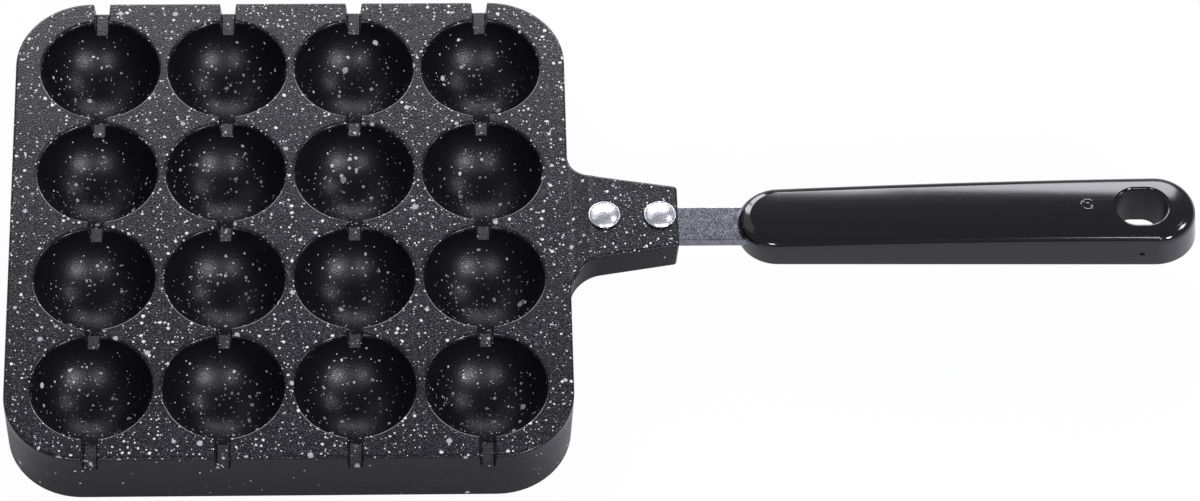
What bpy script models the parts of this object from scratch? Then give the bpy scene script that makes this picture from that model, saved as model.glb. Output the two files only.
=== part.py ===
"""Takoyaki pan: a cast plate with a grid of half-ball cups, a riveted steel strap and a moulded grip.

Metres, +Z up. The pan stands on z = 0. X runs along the handle and the origin lies on the base plane,
under the middle of the pan's overall length. The pan is alike on both sides of the XZ plane, apart from a
small dimple in the grip's front side.
"""
from math import cos, pi, radians, sin

import bmesh
import bpy
from mathutils import Vector

# Sizes of the cups, in metres
CUP_COLUMNS = 4
CUP_ROWS = 4
CUP_RADIUS = 0.0199          # inside, a half ball
CUP_GAP = 0.0032             # ridge between two neighbouring cups
CUP_WALL = 0.0029            # metal under a cup
RIM_BREAK = 0.0004           # bevel round each cup's mouth

# Sizes of the plate and its skirt
SIDE_MARGIN = 0.00875        # outer cups to the plate's left and right sides
END_MARGIN = 0.00805         # outer cups to the plate's front and back
FOOT_CLEARANCE = 0.0013      # the skirt stands this far below the cups
PLATE_THICKNESS = 0.0032
PLATE_CORNER = 0.0255
SKIRT_WALL = 0.0030
SKIRT_DRAFT = 0.0005         # the skirt leans in by this much towards its foot
TOP_EDGE_ROUND = 0.0010
CAVITY_FILLET = 0.0020       # under the plate, where it meets the skirt

# Sizes of the slots that run along each column of cups
SLOT_MOUTH = 0.0053
SLOT_FLOOR = 0.0042
SLOT_DEPTH = 0.0062
SLOT_BED = 0.0024            # metal beside and below a slot
SLOT_CORNER = 0.0010         # plan radius where a slot leaves the skirt

# Sizes of the neck that carries the handle
RAMP_SETBACK = 0.0008        # plate's side to the foot of the ramp
RAMP_LENGTH = 0.0078
NECK_RISE = 0.0035           # neck's top above the plate's top
NECK_DROP = 0.0081           # neck's underside below the plate's top
NECK_ROOT_WIDTH = 0.0362     # at the plate's side, without the fillets
NECK_TIP_WIDTH = 0.0246
NECK_FILLET = 0.0105         # where the neck flares into the plate's side
NECK_SINK = 0.0002           # the fillet's end lies this far inside the plate's side
NECK_CORNER = 0.0013         # plan radius of the tip's corners
NECK_TIP_LEAN = 0.0005       # the tip leans in by this much towards its foot
NECK_ROOF = 0.0045
NECK_WALL = 0.0030

# Sizes of the rivets
RIVET_HEAD_RADIUS = 0.0053
RIVET_HEAD_HEIGHT = 0.0022
RIVET_HEAD_EDGE = 0.0004     # thickness of the head at its edge
RIVET_SHANK_RADIUS = 0.0025
RIVET_TAIL_RADIUS = 0.0037
RIVET_TAIL_HEIGHT = 0.0016
RIVET_SPACING = 0.01855
RIVET_RAMP_MARGIN = 0.00305  # top of the ramp to the first rivet's axis
RIVET_EDGE_MARGIN = 0.0008   # second rivet's head to the neck's tip

# Sizes of the strap, a flat bar with broken edges
STRAP_WIDTH = 0.0136
STRAP_THICKNESS = 0.0035
STRAP_EDGE_BREAK = 0.0003
STRAP_END_MARGIN = 0.0065    # first rivet's axis to the strap's end
STRAP_END_CLEARANCE = 0.0015  # strap's end to the wall of the neck's hollow
STRAP_SHOWING = 0.0200       # neck's tip to the grip's nose
TANG_LENGTH = 0.0400         # strap inside the grip

# Sizes of the grip
GRIP_LENGTH = 0.1549
GRIP_NOSE_WIDTH = 0.0240
GRIP_END_WIDTH = 0.0266
GRIP_FLOOR = 0.0040          # plastic below the tang
GRIP_COVER = 0.0004          # tang's top to the edge of the grip's side, at the nose
GRIP_RISE = 0.0044           # how much higher the side's edge lies at the far end
GRIP_NOSE_ROUND = 0.0136     # plan radius of the nose, along X, at its top
GRIP_NOSE_LEAN = 0.0005      # the nose leans in by this much towards its foot
GRIP_END_ROUND = 0.0147      # plan radius of the far end, along X, at its foot
GRIP_END_LEAN = 0.0014       # the far end leans in by this much towards its top
GRIP_EDGE_ROUND = 0.0030     # top edge of the side
GRIP_NOSE_EDGE_ROUND = 0.0040  # the same edge at the very front of the nose
GRIP_CROWN = 0.0010          # swell of the top above that round
GRIP_FOOT_ROUND = 0.0015     # bottom edge

# Sizes of the hanging hole and of the two small marks on the grip
HOLE_LENGTH = 0.0175         # along X, below the upper mouth
HOLE_WIDTH = 0.0141
HOLE_DRAFT = 0.0013          # the hole draws in by this much all round towards its foot
HOLE_LIP = 0.00085           # rounding of the upper mouth
HOLE_FOOT_LIP = 0.0003       # rounding of the lower mouth
HOLE_END_DISTANCE = 0.0197   # hole's middle to the grip's far end
RING_RADIUS = 0.0024
RING_WALL = 0.0006
RING_HEIGHT = 0.00025
RING_DOT_RADIUS = 0.0007
RING_END_DISTANCE = 0.0384   # ring's middle to the grip's far end
DIMPLE_RADIUS = 0.0010
DIMPLE_DEPTH = 0.0008
DIMPLE_HEIGHT = 0.0073       # above the grip's underside

# Sizes of the screw that holds the tang in the grip
SCREW_END_MARGIN = 0.0150    # screw's axis to the tang's end
SCREW_HEAD_RADIUS = 0.0034
SCREW_HEAD_HEIGHT = 0.0019
SCREW_SINK = 0.0005          # the head lies this far inside the grip
SCREW_SHANK_RADIUS = 0.0019

# Clearances
FIT_GAP = 0.0003             # between pieces that touch on the real pan
OVERRUN = 0.0020             # how far a cutting tool passes the surface that it opens

# How finely round shapes are divided
CUP_SEGMENTS = 28
CUP_RINGS = 6
SHELL_SEGMENTS = 20
SHELL_RINGS = 5
CORNER_SEGMENTS = 8
ROUND_SEGMENTS = 3
FLARE_SEGMENTS = 7
SHANK_SEGMENTS = 20
NOSE_SEGMENTS = 6
SIDE_SEGMENTS = 8
CROWN_RINGS = 4
SMALL_SEGMENTS = 16
SMOOTH_LIMIT = radians(32)

# Places that follow from the sizes
CUP_PITCH = 2 * CUP_RADIUS + CUP_GAP
PLATE_LENGTH = (CUP_COLUMNS - 1) * CUP_PITCH + 2 * (CUP_RADIUS + SIDE_MARGIN)
PLATE_WIDTH = (CUP_ROWS - 1) * CUP_PITCH + 2 * (CUP_RADIUS + END_MARGIN)
PLATE_TOP = CUP_RADIUS + CUP_WALL + FOOT_CLEARANCE
RIVET_ROOT_DISTANCE = RAMP_SETBACK + RAMP_LENGTH + RIVET_RAMP_MARGIN
NECK_REACH = RIVET_ROOT_DISTANCE + RIVET_SPACING + RIVET_HEAD_RADIUS + RIVET_EDGE_MARGIN
OVERALL_LENGTH = PLATE_LENGTH + NECK_REACH + STRAP_SHOWING + GRIP_LENGTH
PLATE_X = (PLATE_LENGTH - OVERALL_LENGTH) / 2
NECK_ROOT_X = PLATE_X + PLATE_LENGTH / 2
NECK_TIP_X = NECK_ROOT_X + NECK_REACH
RIVET_XS = (NECK_ROOT_X + RIVET_ROOT_DISTANCE, NECK_ROOT_X + RIVET_ROOT_DISTANCE + RIVET_SPACING)
NECK_TOP = PLATE_TOP + NECK_RISE
NECK_CEILING = NECK_TOP - NECK_ROOF
STRAP_TOP = NECK_CEILING - FIT_GAP
STRAP_FOOT = STRAP_TOP - STRAP_THICKNESS
STRAP_START_X = RIVET_XS[0] - STRAP_END_MARGIN
GRIP_NOSE_X = NECK_TIP_X + STRAP_SHOWING
GRIP_END_X = GRIP_NOSE_X + GRIP_LENGTH
GRIP_FOOT = STRAP_FOOT - FIT_GAP - GRIP_FLOOR
GRIP_NOSE_TOP = STRAP_TOP + FIT_GAP + GRIP_COVER + GRIP_EDGE_ROUND
TANG_END_X = GRIP_NOSE_X + TANG_LENGTH
SCREW_X = TANG_END_X - SCREW_END_MARGIN
HOLE_X = GRIP_END_X - HOLE_END_DISTANCE


def clear_scene():
    """Remove every object of the open file."""
    for old in list(bpy.data.objects):
        bpy.data.objects.remove(old, do_unlink=True)


def make_material(name, colour, roughness, metallic):
    """Return a plain Principled material."""
    material = bpy.data.materials.new(name)
    material.use_nodes = True
    shader = material.node_tree.nodes["Principled BSDF"]
    shader.inputs["Base Color"].default_value = (*colour, 1.0)
    shader.inputs["Roughness"].default_value = roughness
    shader.inputs["Metallic"].default_value = metallic
    return material


def add_walls(mesh, rings, looped=False):
    """Skin a row of equal rings, and the last to the first where it is looped. Return its points."""
    rows = [[mesh.verts.new(place) for place in ring] for ring in rings]
    count = len(rows[0])
    for low, high in zip(rows, rows[1:] + rows[:1] if looped else rows[1:]):
        for index in range(count):
            after = (index + 1) % count
            mesh.faces.new((low[index], low[after], high[after], high[index]))
    return rows


def add_loft(mesh, rings, end_point=None):
    """Skin a row of rings, closed by flat faces or drawn to a point at its far end."""
    rows = add_walls(mesh, rings)
    mesh.faces.new(rows[0][::-1])
    if end_point is None:
        mesh.faces.new(rows[-1])
        return
    tip = mesh.verts.new(end_point)
    for near, after in zip(rows[-1], rows[-1][1:] + rows[-1][:1]):
        mesh.faces.new((near, after, tip))


def mirrored(side):
    """Return a ring: points on the positive Y side, then their mirror images in reverse."""
    return side + [Vector((place.x, -place.y, place.z)) for place in reversed(side)]


def add_ladder_loft(mesh, rings):
    """Skin a row of mirrored rings, with a flat foot and a top of rungs from side to side."""
    rows = add_walls(mesh, rings)
    mesh.faces.new(rows[0][::-1])
    last = rows[-1]
    for index in range(len(last) // 2 - 1):
        mesh.faces.new((last[index], last[index + 1], last[-index - 2], last[-index - 1]))


def make_object(name, mesh, material=None):
    """Turn a bmesh into an object whose faces point out. Without a material it is a cutting tool."""
    bmesh.ops.recalc_face_normals(mesh, faces=mesh.faces)
    data = bpy.data.meshes.new(name)
    mesh.to_mesh(data)
    mesh.free()
    data.shade_smooth()
    data.set_sharp_from_angle(angle=SMOOTH_LIMIT)
    piece = bpy.data.objects.new(name, data)
    bpy.context.scene.collection.objects.link(piece)
    if material is None:
        piece.hide_render = True
        piece.display_type = "WIRE"
    else:
        data.materials.append(material)
    return piece


def combine(target, tool, operation):
    """Join a tool to the target or cut it away, with an exact Boolean."""
    modifier = target.modifiers.new(tool.name, "BOOLEAN")
    modifier.operation = operation
    modifier.solver = "EXACT"
    modifier.object = tool


def circle(radius, z, segments, centre=(0.0, 0.0)):
    """Return a ring of points round a vertical axis."""
    turns = (2 * pi * index / segments for index in range(segments))
    return [Vector((centre[0] + radius * cos(turn), centre[1] + radius * sin(turn), z)) for turn in turns]


def rounded_rectangle(half_length, half_width, radius, z, centre_x=0.0):
    """Return a ring of points: a rectangle with round corners."""
    ring = []
    for quarter, (side_x, side_y) in enumerate(((1, 1), (-1, 1), (-1, -1), (1, -1))):
        for step in range(CORNER_SEGMENTS + 1):
            turn = (quarter + step / CORNER_SEGMENTS) * pi / 2
            x = centre_x + side_x * (half_length - radius) + radius * cos(turn)
            y = side_y * (half_width - radius) + radius * sin(turn)
            ring.append(Vector((x, y, z)))
    return ring


def round_steps(radius):
    """Yield the inset and rise of the points of a quarter round, from its side to its top."""
    for step in range(ROUND_SEGMENTS + 1):
        turn = step / ROUND_SEGMENTS * pi / 2
        yield radius * (1 - cos(turn)), radius * sin(turn)


def plate_ring(inset, z):
    """Return the plate's outline at a height, drawn in by an inset."""
    return rounded_rectangle(PLATE_LENGTH / 2 - inset, PLATE_WIDTH / 2 - inset, PLATE_CORNER - inset,
                             z, PLATE_X)


def cup_places():
    """Yield the column, row and centre of each cup."""
    for column in range(CUP_COLUMNS):
        for row in range(CUP_ROWS):
            x = PLATE_X + (column - (CUP_COLUMNS - 1) / 2) * CUP_PITCH
            y = (row - (CUP_ROWS - 1) / 2) * CUP_PITCH
            yield column, row, (x, y)


def add_ball_rings(mesh, radius, highest, segments, rings, centre, mouth=()):
    """Add a bowl shape: rings down a half ball from a depth below its middle, closed at the pole."""
    start = highest / radius
    stack = list(mouth)
    for step in range(rings):
        turn = start + (pi / 2 - start) * step / rings
        stack.append(circle(radius * cos(turn), PLATE_TOP - radius * sin(turn), segments, centre))
    add_loft(mesh, stack, end_point=Vector((*centre, PLATE_TOP - radius)))


def make_plate_blank(material):
    """Return the plate's outer block, with its leaning skirt and rounded top edge."""
    mesh = bmesh.new()
    rings = [plate_ring(SKIRT_DRAFT, 0.0)]
    for inset, rise in round_steps(TOP_EDGE_ROUND):
        rings.append(plate_ring(inset, PLATE_TOP - TOP_EDGE_ROUND + rise))
    add_loft(mesh, rings)
    return make_object("pan_casting", mesh, material)


def make_cavity_tool():
    """Return the tool that hollows the plate from below."""
    mesh = bmesh.new()
    ceiling = PLATE_TOP - PLATE_THICKNESS
    rings = [plate_ring(SKIRT_WALL + SKIRT_DRAFT, -OVERRUN)]
    for inset, rise in round_steps(CAVITY_FILLET):
        rings.append(plate_ring(SKIRT_WALL + inset, ceiling - CAVITY_FILLET + rise))
    add_loft(mesh, rings)
    return make_object("cavity_tool", mesh)


def make_cup_shells(parity):
    """Return the outer half balls of every other cup, so that no two in one mesh touch."""
    mesh = bmesh.new()
    for column, row, centre in cup_places():
        if (column + row) % 2 == parity:
            add_ball_rings(mesh, CUP_RADIUS + CUP_WALL, PLATE_THICKNESS / 2, SHELL_SEGMENTS,
                           SHELL_RINGS, centre)
    return make_object(f"cup_shells_{parity}", mesh)


def make_cup_tool():
    """Return the tool that opens all the cups, with the bevel round each mouth."""
    mesh = bmesh.new()
    for _, _, centre in cup_places():
        mouth_radius = CUP_RADIUS + RIM_BREAK
        mouth = [circle(mouth_radius, PLATE_TOP + OVERRUN, CUP_SEGMENTS, centre),
                 circle(mouth_radius, PLATE_TOP, CUP_SEGMENTS, centre)]
        add_ball_rings(mesh, CUP_RADIUS, RIM_BREAK, CUP_SEGMENTS, CUP_RINGS, centre, mouth)
    return make_object("cup_tool", mesh)


def column_places():
    """Yield the X of each column of cups."""
    for column in range(CUP_COLUMNS):
        yield PLATE_X + (column - (CUP_COLUMNS - 1) / 2) * CUP_PITCH


def make_slot_beds():
    """Return the bars under the plate that carry the slots from the outer cups to the skirt."""
    mesh = bmesh.new()
    reach = PLATE_WIDTH / 2 - SKIRT_WALL / 2
    half = SLOT_MOUTH / 2 + SLOT_BED
    low = PLATE_TOP - SLOT_DEPTH - SLOT_BED
    high = PLATE_TOP - PLATE_THICKNESS / 2
    for x in column_places():
        add_loft(mesh, [[Vector((x - half, y, low)), Vector((x + half, y, low)),
                         Vector((x + half, y, high)), Vector((x - half, y, high))]
                        for y in (-reach, reach)])
    return make_object("slot_beds", mesh)


def make_slot_tool():
    """Return the tool that cuts the slots: a wedge along each column, with round mouths at the skirt."""
    mesh = bmesh.new()
    widening = (SLOT_MOUTH - SLOT_FLOOR) / 2 / SLOT_DEPTH
    low, high = PLATE_TOP - SLOT_DEPTH, PLATE_TOP + OVERRUN
    face = PLATE_WIDTH / 2
    mouth = [(face - SLOT_CORNER + rise, inset) for inset, rise in round_steps(SLOT_CORNER)]
    mouth.append((face + OVERRUN, SLOT_CORNER))
    stations = [(-y, spread) for y, spread in reversed(mouth)] + mouth
    for x in column_places():
        rings = []
        for y, spread in stations:
            floor_half = SLOT_FLOOR / 2 + spread
            top_half = SLOT_MOUTH / 2 + widening * OVERRUN + spread
            rings.append([Vector((x - floor_half, y, low)), Vector((x + floor_half, y, low)),
                          Vector((x + top_half, y, high)), Vector((x - top_half, y, high))])
        add_loft(mesh, rings)
    return make_object("slot_tool", mesh)


def neck_half_width(x):
    """Return half the neck's straight, tapering width at a place along X."""
    share = (x - NECK_ROOT_X) / NECK_REACH
    return (NECK_ROOT_WIDTH + (NECK_TIP_WIDTH - NECK_ROOT_WIDTH) * share) / 2


def neck_top(x):
    """Return the height of the neck's top: level, then an eased ramp, then level."""
    share = (x - NECK_ROOT_X - RAMP_SETBACK) / RAMP_LENGTH
    share = min(max(share, 0.0), 1.0)
    return PLATE_TOP + NECK_RISE * share * share * (3 - 2 * share)


def neck_side(inset, tip_lean=0.0):
    """Return plan points along the neck's side, from inside the skirt to the tip, drawn in by an inset."""
    middle_x = NECK_ROOT_X - NECK_SINK + NECK_FILLET
    reach = NECK_FILLET + inset
    points = [(NECK_ROOT_X - SKIRT_WALL / 2, neck_half_width(NECK_ROOT_X) + NECK_FILLET - reach)]
    for step in range(FLARE_SEGMENTS + 1):
        turn = step / FLARE_SEGMENTS * pi / 2
        foot = neck_half_width(middle_x - NECK_FILLET * cos(turn))
        points.append((middle_x - reach * cos(turn), foot + NECK_FILLET - reach * sin(turn)))
    points[0] = (points[0][0], points[1][1])
    corner_x = NECK_TIP_X - tip_lean - NECK_CORNER
    corner_y = neck_half_width(NECK_TIP_X) - NECK_CORNER
    for step in range(ROUND_SEGMENTS + 1):
        turn = step / ROUND_SEGMENTS * pi / 2
        reach = NECK_CORNER - inset
        points.append((corner_x + reach * sin(turn), corner_y + reach * cos(turn)))
    return points


def make_neck():
    """Return the solid neck: a tapering bar that flares into the plate and steps up by a ramp."""
    mesh = bmesh.new()
    edge = neck_side(0.0)
    rings = [mirrored([Vector((x, y, PLATE_TOP - NECK_DROP)) for x, y in neck_side(0.0, NECK_TIP_LEAN)])]
    for inset, rise in round_steps(TOP_EDGE_ROUND):
        side = [Vector((x, y, neck_top(edge_x) - TOP_EDGE_ROUND + rise))
                for (x, y), (edge_x, _) in zip(neck_side(inset), edge)]
        rings.append(mirrored(side))
    add_ladder_loft(mesh, rings)
    return make_object("neck_blank", mesh)


def make_neck_hollow():
    """Return the tool that hollows the neck from below and through its tip."""
    mesh = bmesh.new()
    low = PLATE_TOP - NECK_DROP - OVERRUN
    rings = []
    for x in (STRAP_START_X - STRAP_END_CLEARANCE, NECK_TIP_X + OVERRUN):
        half = neck_half_width(x) - NECK_WALL
        rings.append([Vector((x, -half, low)), Vector((x, half, low)),
                      Vector((x, half, NECK_CEILING)), Vector((x, -half, NECK_CEILING))])
    add_loft(mesh, rings)
    return make_object("neck_hollow_tool", mesh)


def make_bores(name, xs, radius, low, high):
    """Return upright round tools at several places along X."""
    mesh = bmesh.new()
    for x in xs:
        add_loft(mesh, [circle(radius, z, SHANK_SEGMENTS, (x, 0.0)) for z in (low, high)])
    return make_object(name, mesh)


def make_casting():
    """Model the one-piece aluminium casting."""
    coating = make_material("dark_stone_coating", (0.035, 0.035, 0.038), 0.55, 0.1)
    casting = make_plate_blank(coating)
    combine(casting, make_cavity_tool(), "DIFFERENCE")
    combine(casting, make_slot_beds(), "UNION")
    combine(casting, make_cup_shells(0), "UNION")
    combine(casting, make_cup_shells(1), "UNION")
    combine(casting, make_neck(), "UNION")
    combine(casting, make_cup_tool(), "DIFFERENCE")
    combine(casting, make_slot_tool(), "DIFFERENCE")
    combine(casting, make_neck_hollow(), "DIFFERENCE")
    bores = make_bores("neck_rivet_bores", RIVET_XS, RIVET_SHANK_RADIUS + FIT_GAP,
                       PLATE_TOP - NECK_DROP, NECK_TOP + OVERRUN)
    combine(casting, bores, "DIFFERENCE")
    return casting


def bar_section(x, top, width, thickness):
    """Return a ring of points: a flat bar with broken edges, seen along X."""
    half, foot = width / 2, top - thickness
    corners = ((half - STRAP_EDGE_BREAK, foot), (half, foot + STRAP_EDGE_BREAK),
               (half, top - STRAP_EDGE_BREAK), (half - STRAP_EDGE_BREAK, top))
    return mirrored([Vector((x, y, z)) for y, z in corners])


def make_strap():
    """Model the flat bar from under the neck to the end of its tang."""
    steel = make_material("brushed_stainless_steel", (0.62, 0.62, 0.63), 0.3, 1.0)
    mesh = bmesh.new()
    add_loft(mesh, [bar_section(x, STRAP_TOP, STRAP_WIDTH, STRAP_THICKNESS)
                    for x in (STRAP_START_X, TANG_END_X)])
    strap = make_object("handle_strap", mesh, steel)
    low, high = STRAP_FOOT - OVERRUN, STRAP_TOP + OVERRUN
    bores = make_bores("strap_rivet_bores", RIVET_XS, RIVET_SHANK_RADIUS + FIT_GAP, low, high)
    combine(strap, bores, "DIFFERENCE")
    screw_bore = make_bores("strap_screw_bore", (SCREW_X,), SCREW_SHANK_RADIUS + FIT_GAP, low, high)
    combine(strap, screw_bore, "DIFFERENCE")
    return strap


def make_rivet(name, x, metal):
    """Model one rivet: a domed head on the neck, a shank, and a tail spread under the strap."""
    mesh = bmesh.new()
    seat = NECK_TOP + FIT_GAP
    under = STRAP_FOOT - FIT_GAP
    dome = RIVET_HEAD_HEIGHT - RIVET_HEAD_EDGE
    profile = [(RIVET_TAIL_RADIUS, under - RIVET_TAIL_HEIGHT), (RIVET_TAIL_RADIUS, under),
               (RIVET_SHANK_RADIUS, under), (RIVET_SHANK_RADIUS, seat), (RIVET_HEAD_RADIUS, seat)]
    for step in range(ROUND_SEGMENTS + 1):
        turn = step / (ROUND_SEGMENTS + 1) * pi / 2
        profile.append((RIVET_HEAD_RADIUS * cos(turn), seat + RIVET_HEAD_EDGE + dome * sin(turn)))
    rings = [circle(radius, z, SHANK_SEGMENTS, (x, 0.0)) for radius, z in profile]
    add_loft(mesh, rings, end_point=Vector((x, 0.0, seat + RIVET_HEAD_HEIGHT)))
    return make_object(name, mesh, metal)


def grip_half_width(x):
    """Return half the grip's width between its rounded ends."""
    share = (x - GRIP_NOSE_X) / GRIP_LENGTH
    return (GRIP_NOSE_WIDTH + (GRIP_END_WIDTH - GRIP_NOSE_WIDTH) * share) / 2


def grip_shoulder(x):
    """Return the height where the side's round ends: it climbs fast at the nose and levels out."""
    left = 1 - (x - GRIP_NOSE_X) / GRIP_LENGTH
    return GRIP_NOSE_TOP + GRIP_RISE * (1 - left ** 2)


def grip_top(x, y):
    """Return the height of the crowned top at a place inside the grip's outline."""
    nose = max(GRIP_NOSE_X + GRIP_NOSE_ROUND - x, 0.0) / GRIP_NOSE_ROUND
    end = max(x - GRIP_END_X + GRIP_END_ROUND, 0.0) / (GRIP_END_ROUND - GRIP_END_LEAN)
    outwards = nose * nose + end * end + (y / grip_half_width(x)) ** 2
    return grip_shoulder(x) + GRIP_CROWN * (1 - outwards)


def grip_side(nose_lean, end_lean):
    """Return each point of the grip's side: its spine, way out, reach and round. The ends draw in."""
    start, stop = GRIP_NOSE_X + GRIP_NOSE_ROUND, GRIP_END_X - GRIP_END_ROUND
    half_step = pi / 4 / NOSE_SEGMENTS
    side = []
    for step in range(NOSE_SEGMENTS):
        turn = (2 * step + 1) * half_step
        edge = GRIP_EDGE_ROUND + (GRIP_NOSE_EDGE_ROUND - GRIP_EDGE_ROUND) * cos(turn) ** 2
        reach = (GRIP_NOSE_ROUND - nose_lean, grip_half_width(start))
        side.append((start, (-cos(turn) / cos(half_step), sin(turn)), reach, edge))
    for step in range(SIDE_SEGMENTS + 1):
        x = start + (stop - start) * step / SIDE_SEGMENTS
        side.append((x, (0.0, 1.0), (0.0, grip_half_width(x)), GRIP_EDGE_ROUND))
    for step in reversed(range(NOSE_SEGMENTS)):
        turn = (2 * step + 1) * half_step
        reach = (GRIP_END_ROUND - end_lean, grip_half_width(stop))
        side.append((stop, (cos(turn) / cos(half_step), sin(turn)), reach, GRIP_EDGE_ROUND))
    return side


def grip_point(spine_x, way, reach, inset):
    """Return a plan point of the grip's outline, drawn in by an inset."""
    return spine_x + way[0] * (reach[0] - inset), way[1] * (reach[1] - inset)


def make_grip_blank(material):
    """Return the grip's outer form, built up in rings from its foot to the spine of its crown."""
    mesh = bmesh.new()
    rings = []
    low_side = grip_side(GRIP_NOSE_LEAN, 0.0)
    for inset, rise in reversed(list(round_steps(GRIP_FOOT_ROUND))):
        plan = [grip_point(spine_x, way, reach, inset) for spine_x, way, reach, _ in low_side]
        rings.append(mirrored([Vector((x, y, GRIP_FOOT + GRIP_FOOT_ROUND - rise)) for x, y in plan]))
    side = grip_side(0.0, GRIP_END_LEAN)
    for inset_share, rise_share in list(round_steps(1))[:-1]:
        ring = []
        for spine_x, way, reach, edge in side:
            x, y = grip_point(spine_x, way, reach, edge * inset_share)
            ring.append(Vector((x, y, grip_shoulder(x) - edge * (1 - rise_share))))
        rings.append(mirrored(ring))
    for step in range(CROWN_RINGS):
        share = step / CROWN_RINGS
        ring = []
        for spine_x, way, reach, edge in side:
            x, y = grip_point(spine_x, way, reach, edge)
            x, y = x + (spine_x - x) * share, y * (1 - share)
            ring.append(Vector((x, y, grip_top(x, y))))
        rings.append(mirrored(ring))
    add_ladder_loft(mesh, rings)
    return make_object("grip", mesh, material)


def stadium(inset):
    """Return plan points round the hanging hole, drawn in by an inset or let out by a negative one."""
    radius = HOLE_WIDTH / 2 - inset
    straight = (HOLE_LENGTH - HOLE_WIDTH) / 2
    points = []
    for index in range(SHANK_SEGMENTS):
        turn = 2 * pi * (index + 1 / 2) / SHANK_SEGMENTS
        side = 1 if cos(turn) > 0 else -1
        points.append((HOLE_X + side * straight + radius * cos(turn), radius * sin(turn)))
    return points


def make_hole_tool():
    """Return the tool that cuts the hanging hole, which draws in downwards, with both mouths rounded."""
    mesh = bmesh.new()
    foot_inset = HOLE_DRAFT - HOLE_FOOT_LIP
    rings = [[Vector((x, y, GRIP_FOOT - OVERRUN)) for x, y in stadium(foot_inset)]]
    for inset, rise in round_steps(HOLE_FOOT_LIP):
        rings.append([Vector((x, y, GRIP_FOOT + rise)) for x, y in stadium(foot_inset + inset)])
    for inset, rise in reversed(list(round_steps(HOLE_LIP))):
        rings.append([Vector((x, y, grip_top(x, y) - rise)) for x, y in stadium(inset - HOLE_LIP)])
    ceiling = grip_top(HOLE_X, 0.0) + OVERRUN
    rings.append([Vector((x, y, ceiling)) for x, y in stadium(-HOLE_LIP)])
    add_loft(mesh, rings)
    return make_object("hole_tool", mesh)


def make_pocket_tool():
    """Return the tool that opens the tang's pocket, which follows the strap's section."""
    mesh = bmesh.new()
    width, height = STRAP_WIDTH + 2 * FIT_GAP, STRAP_THICKNESS + 2 * FIT_GAP
    add_loft(mesh, [bar_section(x, STRAP_TOP + FIT_GAP, width, height)
                    for x in (GRIP_NOSE_X - OVERRUN, TANG_END_X + FIT_GAP)])
    return make_object("pocket_tool", mesh)


def make_screw_recess():
    """Return the tool for the screw's counterbore and its clearance hole up to the tang."""
    mesh = bmesh.new()
    seat = GRIP_FOOT + SCREW_SINK + SCREW_HEAD_HEIGHT + FIT_GAP
    wide, narrow = SCREW_HEAD_RADIUS + FIT_GAP, SCREW_SHANK_RADIUS + FIT_GAP
    profile = [(wide, GRIP_FOOT - OVERRUN), (wide, seat), (narrow, seat), (narrow, STRAP_TOP)]
    add_loft(mesh, [circle(radius, z, SHANK_SEGMENTS, (SCREW_X, 0.0)) for radius, z in profile])
    return make_object("screw_recess_tool", mesh)


def make_ring_mark():
    """Return the small moulded ring and dot that stand on the grip's top."""
    mesh = bmesh.new()
    x = GRIP_END_X - RING_END_DISTANCE
    top = grip_top(x, 0.0)
    low, high = top - RING_WALL, top + RING_HEIGHT
    outer, inner = RING_RADIUS, RING_RADIUS - RING_WALL
    corners = ((outer, low), (outer, high), (inner, high), (inner, low))
    add_walls(mesh, [circle(radius, z, SMALL_SEGMENTS, (x, 0.0)) for radius, z in corners], looped=True)
    add_loft(mesh, [circle(RING_DOT_RADIUS, z, SMALL_SEGMENTS, (x, 0.0)) for z in (low, high)])
    return make_object("ring_mark", mesh)


def make_dimple_tool():
    """Return the tool for the small gate dimple in the grip's front side."""
    mesh = bmesh.new()
    face_y = -grip_half_width(HOLE_X)
    height = GRIP_FOOT + DIMPLE_HEIGHT
    rings = []
    for y in (face_y - OVERRUN, face_y + DIMPLE_DEPTH):
        turned = circle(DIMPLE_RADIUS, y, SMALL_SEGMENTS)
        rings.append([Vector((HOLE_X + place.x, place.z, height + place.y)) for place in turned])
    add_loft(mesh, rings)
    return make_object("dimple_tool", mesh)


def make_grip():
    """Model the moulded grip with its pocket, hanging hole, screw recess and marks."""
    bakelite = make_material("black_bakelite", (0.018, 0.018, 0.020), 0.22, 0.0)
    grip = make_grip_blank(bakelite)
    combine(grip, make_ring_mark(), "UNION")
    combine(grip, make_hole_tool(), "DIFFERENCE")
    combine(grip, make_pocket_tool(), "DIFFERENCE")
    combine(grip, make_screw_recess(), "DIFFERENCE")
    combine(grip, make_dimple_tool(), "DIFFERENCE")
    return grip


def make_screw():
    """Model the screw, head down in its counterbore and its end in the tang."""
    steel = make_material("zinc_plated_steel", (0.55, 0.55, 0.56), 0.35, 1.0)
    mesh = bmesh.new()
    low = GRIP_FOOT + SCREW_SINK
    seat = low + SCREW_HEAD_HEIGHT
    chamfer = SCREW_HEAD_HEIGHT / 3
    profile = [(SCREW_HEAD_RADIUS - chamfer, low), (SCREW_HEAD_RADIUS, low + chamfer),
               (SCREW_HEAD_RADIUS, seat), (SCREW_SHANK_RADIUS, seat),
               (SCREW_SHANK_RADIUS, STRAP_TOP - FIT_GAP)]
    add_loft(mesh, [circle(radius, z, SHANK_SEGMENTS, (SCREW_X, 0.0)) for radius, z in profile])
    return make_object("grip_screw", mesh, steel)


def main():
    """Build the whole pan."""
    clear_scene()
    make_casting()
    make_strap()
    aluminium = make_material("polished_aluminium", (0.80, 0.80, 0.81), 0.15, 1.0)
    for name, x in zip(("rivet_inner", "rivet_outer"), RIVET_XS):
        make_rivet(name, x, aluminium)
    make_grip()
    make_screw()


main()
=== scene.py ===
"""Looks of the takoyaki pan: fine meshes and finishes for its CAD pieces, and the studio round them."""
from __future__ import annotations

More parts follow.
